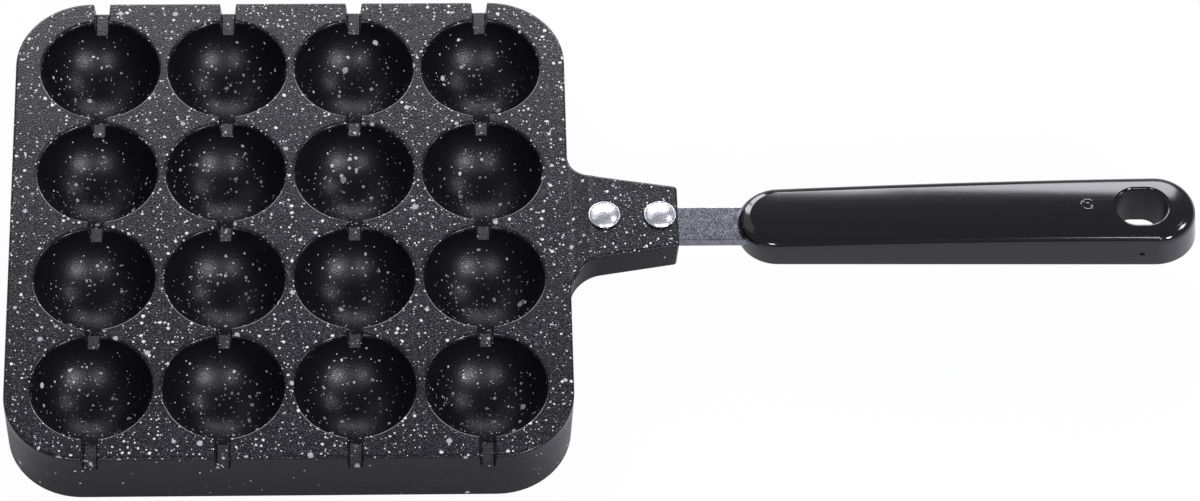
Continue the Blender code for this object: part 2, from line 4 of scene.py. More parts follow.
import logging
from dataclasses import dataclass, field
from enum import Enum
from math import cos, pi, radians, sin
from typing import Any, Sequence

import bmesh
import bpy
from mathutils import Matrix, Vector

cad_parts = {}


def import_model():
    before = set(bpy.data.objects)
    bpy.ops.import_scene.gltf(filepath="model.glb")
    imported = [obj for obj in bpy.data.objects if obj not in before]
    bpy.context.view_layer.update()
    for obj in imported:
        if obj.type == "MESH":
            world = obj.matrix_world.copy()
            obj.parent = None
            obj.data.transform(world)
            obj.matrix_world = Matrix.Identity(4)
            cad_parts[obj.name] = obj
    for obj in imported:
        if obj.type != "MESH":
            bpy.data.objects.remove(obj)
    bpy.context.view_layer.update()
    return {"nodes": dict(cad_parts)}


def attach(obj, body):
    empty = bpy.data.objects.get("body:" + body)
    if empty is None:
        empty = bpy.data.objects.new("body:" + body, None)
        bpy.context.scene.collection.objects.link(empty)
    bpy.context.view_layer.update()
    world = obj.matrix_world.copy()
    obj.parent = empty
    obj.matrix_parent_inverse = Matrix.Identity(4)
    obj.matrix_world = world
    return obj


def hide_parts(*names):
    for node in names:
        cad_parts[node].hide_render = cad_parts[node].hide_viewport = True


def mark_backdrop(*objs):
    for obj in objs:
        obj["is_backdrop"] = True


LOG = logging.getLogger("takoyaki_pan")
FRAME: dict[str, Any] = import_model()
MM = 0.001
IMAGE_WIDTH_PX = 1200
BORE_SEGMENTS = 32
TURN_SEGMENTS = 48
OVERCUT = 0.001                  # how far a small tool passes the face that it opens
COOL_WHITE = (0.95, 0.945, 1.0)  # the photograph's greys lean a little to blue
Ring = list[Vector]
Mesh = bmesh.types.BMesh
Piece, Material = bpy.types.Object, bpy.types.Material
Tree, Socket = bpy.types.NodeTree, bpy.types.NodeSocket


# Helpers for meshes

class Cut(Enum):
    """What a tool does to the piece that it is used on."""

    JOIN = "UNION"
    REMOVE = "DIFFERENCE"


def add_walls(mesh: Mesh, rings: Sequence[Ring]) -> list[list[bmesh.types.BMVert]]:
    """Skin a row of equal rings.

    Args:
        mesh: The mesh that takes the faces.
        rings: Closed rings of points, each with the same count.

    Returns:
        The vertices of each ring.
    """
    rows = [[mesh.verts.new(place) for place in ring] for ring in rings]
    for low, high in zip(rows, rows[1:]):
        for index in range(len(low)):
            after = (index + 1) % len(low)
            mesh.faces.new((low[index], low[after], high[after], high[index]))
    return rows


def add_loft(mesh: Mesh, rings: Sequence[Ring], tip: Vector | None = None) -> None:
    """Skin a row of rings, closed by flat faces or drawn to a point at its far end.

    Args:
        mesh: The mesh that takes the faces.
        rings: Closed rings of points, each with the same count.
        tip: The point that closes the far end, or None for a flat face.
    """
    rows = add_walls(mesh, rings)
    mesh.faces.new(rows[0][::-1])
    if tip is None:
        mesh.faces.new(rows[-1])
        return
    point = mesh.verts.new(tip)
    for near, after in zip(rows[-1], rows[-1][1:] + rows[-1][:1]):
        mesh.faces.new((near, after, point))


def add_ladder_loft(mesh: Mesh, rings: Sequence[Ring]) -> None:
    """Skin mirrored rings, with a flat foot and a top of rungs from side to side.

    Args:
        mesh: The mesh that takes the faces.
        rings: Rings from mirrored(), from the foot to the top.
    """
    rows = add_walls(mesh, rings)
    mesh.faces.new(rows[0][::-1])
    last = rows[-1]
    for index in range(len(last) // 2 - 1):
        mesh.faces.new((last[index], last[index + 1], last[-index - 2], last[-index - 1]))


def mirrored(side: Ring) -> Ring:
    """Return points on the positive Y side, then their mirror images in reverse."""
    return side + [Vector((place.x, -place.y, place.z)) for place in reversed(side)]


def circle(radius: float, z: float, segments: int, centre: tuple[float, float] = (0.0, 0.0)) -> Ring:
    """Return a ring of points round a vertical axis."""
    turns = (2 * pi * index / segments for index in range(segments))
    return [Vector((centre[0] + radius * cos(turn), centre[1] + radius * sin(turn), z)) for turn in turns]


def quarter(radius: float, steps: int) -> list[tuple[float, float]]:
    """Return the inset and rise of the points of a quarter round, from its side to its top."""
    turns = (step / steps * pi / 2 for step in range(steps + 1))
    return [(radius * (1 - cos(turn)), radius * sin(turn)) for turn in turns]


def make_object(name: str, mesh: Mesh) -> Piece:
    """Turn a bmesh into an object whose faces point out and are shaded smooth.

    Args:
        name: The new object's name.
        mesh: The bmesh, which is freed.

    Returns:
        The new object, at the origin.
    """
    bmesh.ops.recalc_face_normals(mesh, faces=mesh.faces)
    data = bpy.data.meshes.new(name)
    mesh.to_mesh(data)
    mesh.free()
    data.shade_smooth()
    piece = bpy.data.objects.new(name, data)
    bpy.context.scene.collection.objects.link(piece)
    return piece


def make_lofts(name: str, *lofts: Sequence[Ring]) -> Piece:
    """Return an object that is made of one closed loft or of several."""
    mesh = bmesh.new()
    for rings in lofts:
        add_loft(mesh, rings)
    return make_object(name, mesh)


def make_lathe(name: str, profile: Sequence[tuple[float, float]], segments: int, tip_z: float | None = None,
               centre: tuple[float, float] = (0.0, 0.0)) -> Piece:
    """Turn a profile of (radius, height) points about a vertical axis.

    Args:
        name: The new object's name.
        profile: The points, each off the axis.
        segments: How many sides a turn has.
        tip_z: Height of the pole that closes the far end, or None for a flat end.
        centre: The axis in plan.

    Returns:
        The closed, turned object.
    """
    mesh = bmesh.new()
    rings = [circle(radius, z, segments, centre) for radius, z in profile]
    add_loft(mesh, rings, None if tip_z is None else Vector((*centre, tip_z)))
    return make_object(name, mesh)


def use_tool(piece: Piece, tool: Piece, cut: Cut) -> None:
    """Give a piece a Boolean modifier that joins a tool to it or cuts it away.

    Args:
        piece: The object that is changed.
        tool: The other solid, which bake() removes.
        cut: Join or remove.
    """
    modifier = piece.modifiers.new(tool.name, "BOOLEAN")
    modifier.operation = cut.value
    modifier.solver = "EXACT"
    modifier.object = tool


def bake(piece: Piece, crease: float = 32.0, weighted: bool = True) -> Piece:
    """Replace a piece's mesh by what its modifiers make of it, and remove the tools.

    Args:
        piece: The object with live modifiers.
        crease: Edges that turn by more than this many degrees are shaded sharp.
        weighted: Whether large faces keep their own normals.

    Returns:
        The same object, with a plain mesh and no modifiers.
    """
    tools = [modifier.object for modifier in piece.modifiers if modifier.type == "BOOLEAN"]
    for step in range(2):
        graph = bpy.context.evaluated_depsgraph_get()
        evaluated = piece.evaluated_get(graph)
        data = bpy.data.meshes.new_from_object(evaluated, preserve_all_data_layers=True, depsgraph=graph)
        piece.modifiers.clear()
        piece.data = data
        if step or not weighted:
            break
        data.shade_smooth()
        data.set_sharp_from_angle(angle=radians(crease))
        normals = piece.modifiers.new("face_weights", "WEIGHTED_NORMAL")
        normals.mode = "FACE_AREA"
        normals.keep_sharp = True
    for tool in tools:
        bpy.data.objects.remove(tool, do_unlink=True)
    return piece


# Helpers for node trees

def add_node(tree: Tree, kind: str, inputs: dict[Any, Any] | None = None,
             **settings: Any) -> bpy.types.Node:
    """Add a node with its settings, values and links.

    Args:
        tree: The tree that takes the node.
        kind: The node's Blender type name.
        inputs: Socket name or index to a value, or to an output socket that feeds it.
        **settings: Attributes of the node.

    Returns:
        The new node.
    """
    node = tree.nodes.new(kind)
    for name, value in settings.items():
        setattr(node, name, value)
    for key, value in (inputs or {}).items():
        if isinstance(value, Socket):
            tree.links.new(value, node.inputs[key])
        else:
            node.inputs[key].default_value = value
    return node


def linear(colour: str) -> tuple[float, float, float, float]:
    """Turn an sRGB hex colour, such as #1c1c1f, into linear RGBA."""
    channels = [int(colour[place:place + 2], 16) / 255 for place in (1, 3, 5)]
    return (*(value / 12.92 if value <= 0.04045 else ((value + 0.055) / 1.055) ** 2.4
              for value in channels), 1.0)


def blank_material(name: str) -> tuple[Material, Tree, bpy.types.Node]:
    """Return a new material, its tree and its Principled shader."""
    material = bpy.data.materials.new(name)
    material.use_nodes = True
    tree = material.node_tree
    return material, tree, tree.nodes["Principled BSDF"]


def object_millimetres(tree: Tree) -> Socket:
    """Return Object coordinates counted in millimetres, so that a scale of 1 / size gives that size."""
    place = add_node(tree, "ShaderNodeTexCoord").outputs["Object"]
    return add_node(tree, "ShaderNodeVectorMath", {0: place, "Scale": 1 / MM}, operation="SCALE").outputs[0]


class Step(Enum):
    """What a node works out: its type, its setting, the output that is used and its inputs in order."""

    ABSOLUTE = ("ShaderNodeMath", "operation", "ABSOLUTE", 0, (0,))
    ADD = ("ShaderNodeMath", "operation", "ADD", 0, (0, 1))
    DIVIDE = ("ShaderNodeMath", "operation", "DIVIDE", 0, (0, 1))
    FLOOR = ("ShaderNodeMath", "operation", "FLOOR", 0, (0,))
    LESS_THAN = ("ShaderNodeMath", "operation", "LESS_THAN", 0, (0, 1))
    MAXIMUM = ("ShaderNodeMath", "operation", "MAXIMUM", 0, (0, 1))
    MODULO = ("ShaderNodeMath", "operation", "MODULO", 0, (0, 1))
    MULTIPLY = ("ShaderNodeMath", "operation", "MULTIPLY", 0, (0, 1))
    MULTIPLY_ADD = ("ShaderNodeMath", "operation", "MULTIPLY_ADD", 0, (0, 1, 2))
    SUBTRACT = ("ShaderNodeMath", "operation", "SUBTRACT", 0, (0, 1))
    VECTOR_ABSOLUTE = ("ShaderNodeVectorMath", "operation", "ABSOLUTE", 0, (0,))
    VECTOR_ADD = ("ShaderNodeVectorMath", "operation", "ADD", 0, (0, 1))
    VECTOR_LENGTH = ("ShaderNodeVectorMath", "operation", "LENGTH", 1, (0,))
    VECTOR_MODULO = ("ShaderNodeVectorMath", "operation", "MODULO", 0, (0, 1))
    VECTOR_MULTIPLY = ("ShaderNodeVectorMath", "operation", "MULTIPLY", 0, (0, 1))
    VECTOR_MULTIPLY_ADD = ("ShaderNodeVectorMath", "operation", "MULTIPLY_ADD", 0, (0, 1, 2))
    VECTOR_SUBTRACT = ("ShaderNodeVectorMath", "operation", "SUBTRACT", 0, (0, 1))
    REMAP = ("ShaderNodeMapRange", "interpolation_type", "SMOOTHSTEP", 0, (0, 1, 2, 3, 4))
    BLEND = ("ShaderNodeMix", "data_type", "RGBA", 2, (0, 6, 7))


def solve(tree: Tree, step: Step, *values: Any) -> Socket:
    """Add a step to a tree and return its result.

    Args:
        tree: The tree that takes the node.
        step: What is worked out. REMAP takes a value, its range and the range that it is moved to, which
            is 0 to 1 unless given. BLEND takes a share and two colours.
        *values: Numbers, vectors, colours or sockets, in the order of the step's inputs.

    Returns:
        The socket of the result.
    """
    kind, setting, choice, output, inputs = step.value
    return add_node(tree, kind, dict(zip(inputs, values)), **{setting: choice}).outputs[output]


def normal_z(tree: Tree) -> Socket:
    """Return how far the surface looks up: 1 where level, 0 where upright, below 0 underneath."""
    normal = add_node(tree, "ShaderNodeNewGeometry").outputs["Normal"]
    return add_node(tree, "ShaderNodeSeparateXYZ", {0: normal}).outputs["Z"]


def feed(tree: Tree, shader: bpy.types.Node, colour: Any, roughness: Any,
         normal: Any = None) -> None:
    """Link a shader's colour, its roughness and, where there is one, its bumped normal."""
    for name, socket in (("Base Color", colour), ("Roughness", roughness), ("Normal", normal)):
        if socket is not None:
            tree.links.new(socket, shader.inputs[name])


# Finishes

@dataclass(frozen=True)
class Flecks:
    """One size of paint fleck: how far apart, how large and how often."""

    spacing_mm: float
    radius_mm: tuple[float, float]
    share_on_top: float
    share_on_walls: float
    seed_mm: float
    core_share: float = 0.72     # the part of a fleck's radius that is fully covered

    def mask(self, tree: Tree, place: Any, facing_up: Any) -> tuple[Any, Any]:
        """Add the nodes of these flecks.

        Args:
            tree: The material's tree.
            place: Wobbled coordinates in millimetres.
            facing_up: 0 on walls to 1 on faces that look up.

        Returns:
            The sockets of the flecks' mask and of a random shade for each.
        """
        moved = solve(tree, Step.VECTOR_ADD, place, (self.seed_mm,) * 3)
        cells = add_node(tree, "ShaderNodeTexVoronoi", {"Vector": moved, "Scale": 1 / self.spacing_mm})
        random = add_node(tree, "ShaderNodeSeparateColor", {0: cells.outputs["Color"]})
        low, high = (radius / self.spacing_mm for radius in self.radius_mm)
        radius = solve(tree, Step.REMAP, random.outputs[0], 0.0, 1.0, low, high)
        inner = solve(tree, Step.MULTIPLY, radius, self.core_share)
        spot = solve(tree, Step.REMAP, cells.outputs["Distance"], inner, radius, 1.0, 0.0)
        share = solve(tree, Step.REMAP, facing_up, 0.0, 1.0, self.share_on_walls, self.share_on_top)
        present = solve(tree, Step.LESS_THAN, random.outputs[1], share)
        return solve(tree, Step.MULTIPLY, spot, present), random.outputs[2]


@dataclass(frozen=True)
class StoneCoating:
    """Sprayed PTFE "stone" non-stick coating on cast aluminium.

    The base coat is satin charcoal over a fine sandy grain, so lamps show as soft, glittering patches. The
    grain's
    glints are also painted: it is drawn lighter on faces that look up and near the top, and not deep in the
    cups.
    Pale drops of paint lie on it, most on faces that looked up at the spray gun and few on the walls.
    """

    base: str = "#0d0d11"
    # painted glint and sheen colour that the grain is drawn with
    painted_glint: str = "#42424a"
    fleck_dark: str = "#8c8c90"
    fleck_pale: str = "#e2e2e0"
    roughness: float = 0.245
    deep_roughness: float = 0.10
    rim_roughness: float = 0.20
    roughness_spread: float = 0.05
    grain_mm: float = 0.55        # coarser than a real coat's grain, so that 0.34 mm pixels show it
    # grain values over which the painted glint colour comes in
    glint_grain_range: tuple[float, float] = (0.52, 0.72)
    cloud_mm: float = 9.0
    wobble_mm: float = 0.9
    wobble_reach_mm: float = 0.7  # how far a fleck's edge strays from a circle
    shade_mm: tuple[float, float] = (7.0, 1.0)     # depths between which a cup's bare wall gains painted glints and loses its deep roughness
    rim_offset_mm: float = 0.45   # middle of the rim's round, outside the cup's radius
    rim_fade_mm: tuple[float, float] = (0.5, 0.9)
    paint_cover: float = 0.88
    fleck_relief: float = 0.35
    bump_mm: float = 0.12
    deep_bump: float = 0.7
    open_bump: float = 0.5
    rim_bump: float = 0.08
    ior: float = 1.36
    flecks: tuple[Flecks, ...] = (
        Flecks(5.8, (0.60, 1.20), 0.34, 0.02, 0.0),
        Flecks(2.7, (0.38, 0.72), 0.44, 0.02, 31.7),
        Flecks(1.5, (0.25, 0.43), 0.36, 0.02, 77.3),
        Flecks(0.95, (0.17, 0.28), 0.24, 0.01, 12.9),
    )

    def rim_mask(self, tree: Tree, place: Any) -> Socket:
        """Return 1 along the cups' rims and 0 elsewhere.

        Args:
            tree: The material's tree.
            place: Object coordinates in millimetres.

        Returns:
            The mask's socket.
        """
        pitch, radius = SIZES.pitch / MM, SIZES.cup_radius / MM
        centred = solve(tree, Step.VECTOR_SUBTRACT, place, (SIZES.plate_x / MM, 0.0, 0.0))
        cell = solve(tree, Step.VECTOR_MODULO, centred, (pitch, pitch, 1e6))
        offset = solve(tree, Step.VECTOR_SUBTRACT, solve(tree, Step.VECTOR_ABSOLUTE, cell),
                       (pitch / 2, pitch / 2, 0.0))
        reach = solve(tree, Step.VECTOR_LENGTH, solve(tree, Step.VECTOR_MULTIPLY, offset, (1.0, 1.0, 0.0)))
        away = solve(tree, Step.ABSOLUTE, solve(tree, Step.SUBTRACT, reach, radius + self.rim_offset_mm))
        ring = solve(tree, Step.REMAP, away, *self.rim_fade_mm, 1.0, 0.0)
        spread = add_node(tree, "ShaderNodeSeparateXYZ", {0: solve(tree, Step.VECTOR_ABSOLUTE, centred)})
        widest = solve(tree, Step.MAXIMUM, spread.outputs[0], spread.outputs[1])
        height = solve(tree, Step.SUBTRACT, spread.outputs[2], SIZES.plate_top / MM)
        on_grid = solve(tree, Step.LESS_THAN, widest, 2 * pitch)
        on_top = solve(tree, Step.LESS_THAN, solve(tree, Step.ABSOLUTE, height), 1.0)
        return solve(tree, Step.MULTIPLY, solve(tree, Step.MULTIPLY, ring, on_grid), on_top)

    def material(self) -> Material:
        """Build the material."""
        material, tree, shader = blank_material("ptfe_stone_coating")
        place = object_millimetres(tree)
        wobble = add_node(tree, "ShaderNodeTexNoise",
                          {"Vector": place, "Scale": 1 / self.wobble_mm, "Detail": 2.0})
        offset = solve(tree, Step.VECTOR_SUBTRACT, wobble.outputs["Color"], (0.5, 0.5, 0.5))
        wobbled = solve(tree, Step.VECTOR_MULTIPLY_ADD, offset, (self.wobble_reach_mm,) * 3, place)
        height = add_node(tree, "ShaderNodeSeparateXYZ", {0: place}).outputs["Z"]
        open_top = solve(tree, Step.REMAP, height, *(SIZES.plate_top / MM - depth for depth in self.shade_mm))
        facing_up = solve(tree, Step.MULTIPLY, solve(tree, Step.REMAP, normal_z(tree), 0.1, 0.95),
                          solve(tree, Step.MULTIPLY_ADD, open_top, 0.25, 0.75))
        grain = add_node(tree, "ShaderNodeTexNoise",
                         {"Vector": place, "Scale": 1 / self.grain_mm, "Detail": 1.0, "Roughness": 0.5})
        cloud = add_node(tree, "ShaderNodeTexNoise",
                         {"Vector": place, "Scale": 1 / self.cloud_mm, "Detail": 2.0})
        # Painted glints and sheen: the grain is drawn lighter where faces look up and near the top, and not
        # at all deep in the cups
        glint_grain = solve(tree, Step.MULTIPLY, solve(tree, Step.REMAP, grain.outputs[0], *self.glint_grain_range),
                     solve(tree, Step.MULTIPLY, facing_up, open_top))
        painted_glint = solve(tree, Step.MULTIPLY, glint_grain, solve(tree, Step.REMAP, cloud.outputs[0], 0.3, 0.7, 0.5, 1.0))
        colour = solve(tree, Step.BLEND, painted_glint, linear(self.base), linear(self.painted_glint))
        whole: Any = 0.0
        for size in self.flecks:
            mask, shade = size.mask(tree, wobbled, facing_up)
            paint = solve(tree, Step.BLEND, shade, linear(self.fleck_dark), linear(self.fleck_pale))
            cover = solve(tree, Step.MULTIPLY, mask, self.paint_cover)
            colour = solve(tree, Step.BLEND, cover, colour, paint)
            whole = solve(tree, Step.MAXIMUM, whole, mask)
        rough = solve(tree, Step.REMAP, grain.outputs[0], 0.3, 0.7, self.roughness - self.roughness_spread,
                      self.roughness + self.roughness_spread)
        deep = solve(tree, Step.REMAP, open_top, 0.0, 1.0, self.deep_roughness, 0.0)
        rough = solve(tree, Step.ADD, rough, deep)
        rim = self.rim_mask(tree, place)
        smooth = add_node(tree, "ShaderNodeMix", {0: rim, 2: rough, 3: self.rim_roughness})
        relief = solve(tree, Step.MULTIPLY_ADD, whole, self.fleck_relief, grain.outputs[0])
        strength = solve(tree, Step.REMAP, open_top, 0.0, 1.0, self.deep_bump, self.open_bump)
        strength = solve(tree, Step.REMAP, rim, 0.0, 1.0, strength, self.rim_bump)
        bump = add_node(tree, "ShaderNodeBump",
                        {"Height": relief, "Strength": strength, "Distance": self.bump_mm * MM})
        feed(tree, shader, colour, smooth.outputs[0], bump.outputs[0])
        shader.inputs["IOR"].default_value = self.ior
        return material


@dataclass(frozen=True)
class BrushedStainless:
    """Rolled stainless bar with a dull mill finish, crossed by fine handling scratches.

    Real scratches are some hundredths of a millimetre wide. They are drawn wider, so that a pixel shows them.
    """

    steel: str = "#8e8e98"
    dull: str = "#6d6d77"
    scratch: str = "#a8a8b0"
    roughness: float = 0.17
    strokes: tuple[tuple[float, float, float], ...] = (  # angle, length and width in mm
        (48, 2.4, 0.36), (-42, 2.0, 0.33), (80, 1.6, 0.42))
    patch_mm: float = 2.2
    patch_share: float = 0.7
    scratch_share: float = 0.3
    scratch_roughness: float = 0.06
    bump: float = 0.15
    bump_mm: float = 0.03

    def material(self) -> Material:
        """Build the material."""
        material, tree, shader = blank_material("mill_finish_stainless")
        place = object_millimetres(tree)
        streaks = []
        for angle, length_mm, width_mm in self.strokes:
            turned = add_node(tree, "ShaderNodeMapping",
                              {"Vector": place, "Rotation": (0.0, 0.0, radians(angle)),
                               "Scale": (length_mm, width_mm, width_mm)}, vector_type="TEXTURE")
            noise = add_node(tree, "ShaderNodeTexNoise",
                             {"Vector": turned.outputs[0], "Scale": 1.0, "Detail": 2.0})
            streaks.append(solve(tree, Step.REMAP, noise.outputs[0], 0.52, 0.70))
        scratches = solve(tree, Step.MAXIMUM, streaks[0], solve(tree, Step.MAXIMUM, streaks[1], streaks[2]))
        patches = add_node(tree, "ShaderNodeTexNoise",
                           {"Vector": place, "Scale": 1 / self.patch_mm, "Detail": 3.0})
        tone = solve(tree, Step.REMAP, patches.outputs[0], 0.35, 0.65)
        tone = solve(tree, Step.MULTIPLY, tone, self.patch_share)
        colour = solve(tree, Step.BLEND, tone, linear(self.steel), linear(self.dull))
        bright = solve(tree, Step.MULTIPLY, scratches, self.scratch_share)
        colour = solve(tree, Step.BLEND, bright, colour, linear(self.scratch))
        rough = solve(tree, Step.MULTIPLY_ADD, scratches, self.scratch_roughness, self.roughness)
        bump = add_node(tree, "ShaderNodeBump",
                        {"Height": scratches, "Strength": self.bump, "Distance": self.bump_mm * MM})
        feed(tree, shader, colour, rough, bump.outputs[0])
        shader.inputs["Metallic"].default_value = 1.0
        return material


@dataclass(frozen=True)
class PolishedAluminium:
    """Cold-headed and tumbled aluminium rivets: bright, with crisp glints over a whitish, frosty body."""

    metal: str = "#ececf2"
    cloudy: str = "#d6d6de"
    polished_roughness: float = 0.16
    frosted_roughness: float = 0.40
    cloud_mm: float = 2.4
    frost_mm: float = 0.10   # tumbling leaves far finer dents, too fine for any picture of the whole pan

    def material(self) -> Material:
        """Build the material."""
        material, tree, shader = blank_material("cold_headed_aluminium")
        place = object_millimetres(tree)
        cloud = add_node(tree, "ShaderNodeTexNoise",
                         {"Vector": place, "Scale": 1 / self.cloud_mm, "Detail": 2.0})
        share = solve(tree, Step.REMAP, cloud.outputs[0], 0.4, 0.65)
        colour = solve(tree, Step.BLEND, share, linear(self.metal), linear(self.cloudy))
        frost = add_node(tree, "ShaderNodeTexNoise",
                         {"Vector": place, "Scale": 1 / self.frost_mm, "Detail": 0.0})
        rough = solve(tree, Step.REMAP, frost.outputs[0], 0.38, 0.62, self.polished_roughness,
                      self.frosted_roughness)
        feed(tree, shader, colour, rough)
        shader.inputs["Metallic"].default_value = 1.0
        return material


@dataclass(frozen=True)
class Bakelite:
    """Compression-moulded phenolic resin: deep glossy black with a faint ripple from the mould.

    The mould is polished outside only, so the hanging hole's wall, left by a plain core pin, is dull.
    """

    resin: str = "#0b0b10"
    dusty: str = "#141417"
    roughness: float = 0.11
    roughness_spread: float = 0.015
    ripple_mm: float = 7.0
    dust_mm: float = 0.5
    bump: float = 0.1
    bump_mm: float = 0.05
    bore_roughness: float = 0.50
    bore_middle_mm: float = 179.05   # X of the hanging hole's middle
    bore_reach_mm: float = 9.5       # past the hole's wall, short of the grip's outer side
    ior: float = 1.55

    def material(self) -> Material:
        """Build the material."""
        material, tree, shader = blank_material("moulded_bakelite")
        place = object_millimetres(tree)
        ripple = add_node(tree, "ShaderNodeTexNoise",
                          {"Vector": place, "Scale": 1 / self.ripple_mm, "Detail": 1.0})
        dust = add_node(tree, "ShaderNodeTexNoise",
                        {"Vector": place, "Scale": 1 / self.dust_mm, "Detail": 2.0})
        share = solve(tree, Step.REMAP, dust.outputs[0], 0.55, 0.8)
        colour = solve(tree, Step.BLEND, share, linear(self.resin), linear(self.dusty))
        rough = solve(tree, Step.REMAP, dust.outputs[0], 0.3, 0.7, self.roughness - self.roughness_spread,
                      self.roughness + self.roughness_spread)
        from_bore = solve(tree, Step.VECTOR_SUBTRACT, place, (self.bore_middle_mm, 0.0, 0.0))
        away = solve(tree, Step.VECTOR_LENGTH, solve(tree, Step.VECTOR_MULTIPLY, from_bore, (1.0, 1.0, 0.0)))
        near = solve(tree, Step.LESS_THAN, away, self.bore_reach_mm)
        upright = solve(tree, Step.REMAP, solve(tree, Step.ABSOLUTE, normal_z(tree)), 0.15, 0.35, 1.0, 0.0)
        rough = add_node(tree, "ShaderNodeMix", {0: solve(tree, Step.MULTIPLY, near, upright), 2: rough,
                                                 3: self.bore_roughness}).outputs[0]
        bump = add_node(tree, "ShaderNodeBump", {"Height": ripple.outputs[0], "Strength": self.bump,
                                                 "Distance": self.bump_mm * MM})
        feed(tree, shader, colour, rough, bump.outputs[0])
        shader.inputs["IOR"].default_value = self.ior
        return material


@dataclass(frozen=True)
class ZincPlatedSteel:
    """Bright zinc-plated screw: pale grey with the faint mottling of the plating."""

    plate: str = "#b9bcc0"
    dull: str = "#9a9da3"
    mottle_mm: float = 0.8
    roughness: float = 0.3

    def material(self) -> Material:
        """Build the material."""
        material, tree, shader = blank_material("zinc_plated_steel")
        place = object_millimetres(tree)
        mottle = add_node(tree, "ShaderNodeTexNoise",
                          {"Vector": place, "Scale": 1 / self.mottle_mm, "Detail": 2.0})
        colour = solve(tree, Step.BLEND, mottle.outputs[0], linear(self.plate), linear(self.dull))
        rough = solve(tree, Step.REMAP, mottle.outputs[0], 0.3, 0.7, self.roughness - 0.05,
                      self.roughness + 0.1)
        feed(tree, shader, colour, rough)
        shader.inputs["Metallic"].default_value = 1.0
        return material


@dataclass(frozen=True)
class StudioWhite:
    """Matt white sweep. The camera sees it as a white page that keeps a trace of the pan's shadow."""

    paint: str = "#cacacf"
    tooth: str = "#d2d2d6"
    tooth_mm: float = 2.0
    page_share: float = 0.96

    def material(self) -> Material:
        """Build the material."""
        material, tree, shader = blank_material("matt_white_sweep")
        place = object_millimetres(tree)
        tooth = add_node(tree, "ShaderNodeTexNoise",
                         {"Vector": place, "Scale": 1 / self.tooth_mm, "Detail": 2.0})
        colour = solve(tree, Step.BLEND, tooth.outputs[0], linear(self.paint), linear(self.tooth))
        tree.links.new(colour, shader.inputs["Base Color"])
        shader.inputs["Roughness"].default_value = 0.9
        shader.inputs["Specular IOR Level"].default_value = 0.0
        page = add_node(tree, "ShaderNodeEmission", {"Color": (1.0, 1.0, 1.0, 1.0), "Strength": 1.0})
        rays = add_node(tree, "ShaderNodeLightPath")
        share = solve(tree, Step.MULTIPLY, rays.outputs["Is Camera Ray"], self.page_share)
        mix = add_node(tree, "ShaderNodeMixShader", {0: share, 1: shader.outputs[0], 2: page.outputs[0]})
        tree.links.new(mix.outputs[0], tree.nodes["Material Output"].inputs["Surface"])
        return material


# Geometry node trees

def new_tree(name: str, inputs: dict[str, tuple[str, Any]]) -> tuple[Tree, dict[str, str]]:
    """Start a Geometry Nodes tree with named inputs.

    Args:
        name: The tree's name.
        inputs: Input name to its socket type and default value.

    Returns:
        The tree, and input name to socket identifier.
    """
    tree = bpy.data.node_groups.new(name, "GeometryNodeTree")
    tree.interface.new_socket("Geometry", in_out="INPUT", socket_type="NodeSocketGeometry")
    identifiers = {}
    for label, (kind, value) in inputs.items():
        socket = tree.interface.new_socket(label, in_out="INPUT", socket_type=kind)
        if value is not None:
            socket.default_value = value
        identifiers[label] = socket.identifier
    tree.interface.new_socket("Geometry", in_out="OUTPUT", socket_type="NodeSocketGeometry")
    return tree, identifiers


def close_tree(tree: Tree, instances: Socket, source: bpy.types.Node) -> None:
    """End a tree in Realize Instances and Set Material.

    Args:
        tree: The tree to end.
        instances: The geometry that it made.
        source: The Group Input node, which has a Material input.
    """
    real = add_node(tree, "GeometryNodeRealizeInstances", {0: instances})
    dressed = add_node(tree, "GeometryNodeSetMaterial",
                       {"Geometry": real.outputs[0], "Material": source.outputs["Material"]})
    add_node(tree, "NodeGroupOutput", {0: dressed.outputs[0]})


def cup_grid_tree() -> tuple[Tree, dict[str, str]]:
    """Build the tree that sets one bowl at every other place of the grid of cups."""
    tree, identifiers = new_tree("cup_grid", {
        "Columns": ("NodeSocketInt", 4), "Rows": ("NodeSocketInt", 4), "Pitch": ("NodeSocketFloat", 0.043),
        "Phase": ("NodeSocketInt", 0), "Centre": ("NodeSocketVector", None),
        "Material": ("NodeSocketMaterial", None)})
    source = add_node(tree, "NodeGroupInput")
    spans = [solve(tree, Step.MULTIPLY, solve(tree, Step.SUBTRACT, source.outputs[name], 1.0),
                   source.outputs["Pitch"]) for name in ("Columns", "Rows")]
    grid = add_node(tree, "GeometryNodeMeshGrid",
                    {"Size X": spans[0], "Size Y": spans[1], "Vertices X": source.outputs["Columns"],
                     "Vertices Y": source.outputs["Rows"]})
    index = add_node(tree, "GeometryNodeInputIndex").outputs[0]
    column = solve(tree, Step.FLOOR, solve(tree, Step.DIVIDE, index, source.outputs["Rows"]))
    row = solve(tree, Step.MODULO, index, source.outputs["Rows"])
    total = solve(tree, Step.ADD, solve(tree, Step.ADD, column, row), source.outputs["Phase"])
    chosen = solve(tree, Step.LESS_THAN, solve(tree, Step.MODULO, total, 2.0), 0.5)
    moved = add_node(tree, "GeometryNodeTransform",
                     {"Geometry": grid.outputs["Mesh"], "Translation": source.outputs["Centre"]})
    bowls = add_node(tree, "GeometryNodeInstanceOnPoints",
                     {"Points": moved.outputs[0], "Instance": source.outputs["Geometry"],
                      "Selection": chosen})
    close_tree(tree, bowls.outputs[0], source)
    return tree, identifiers


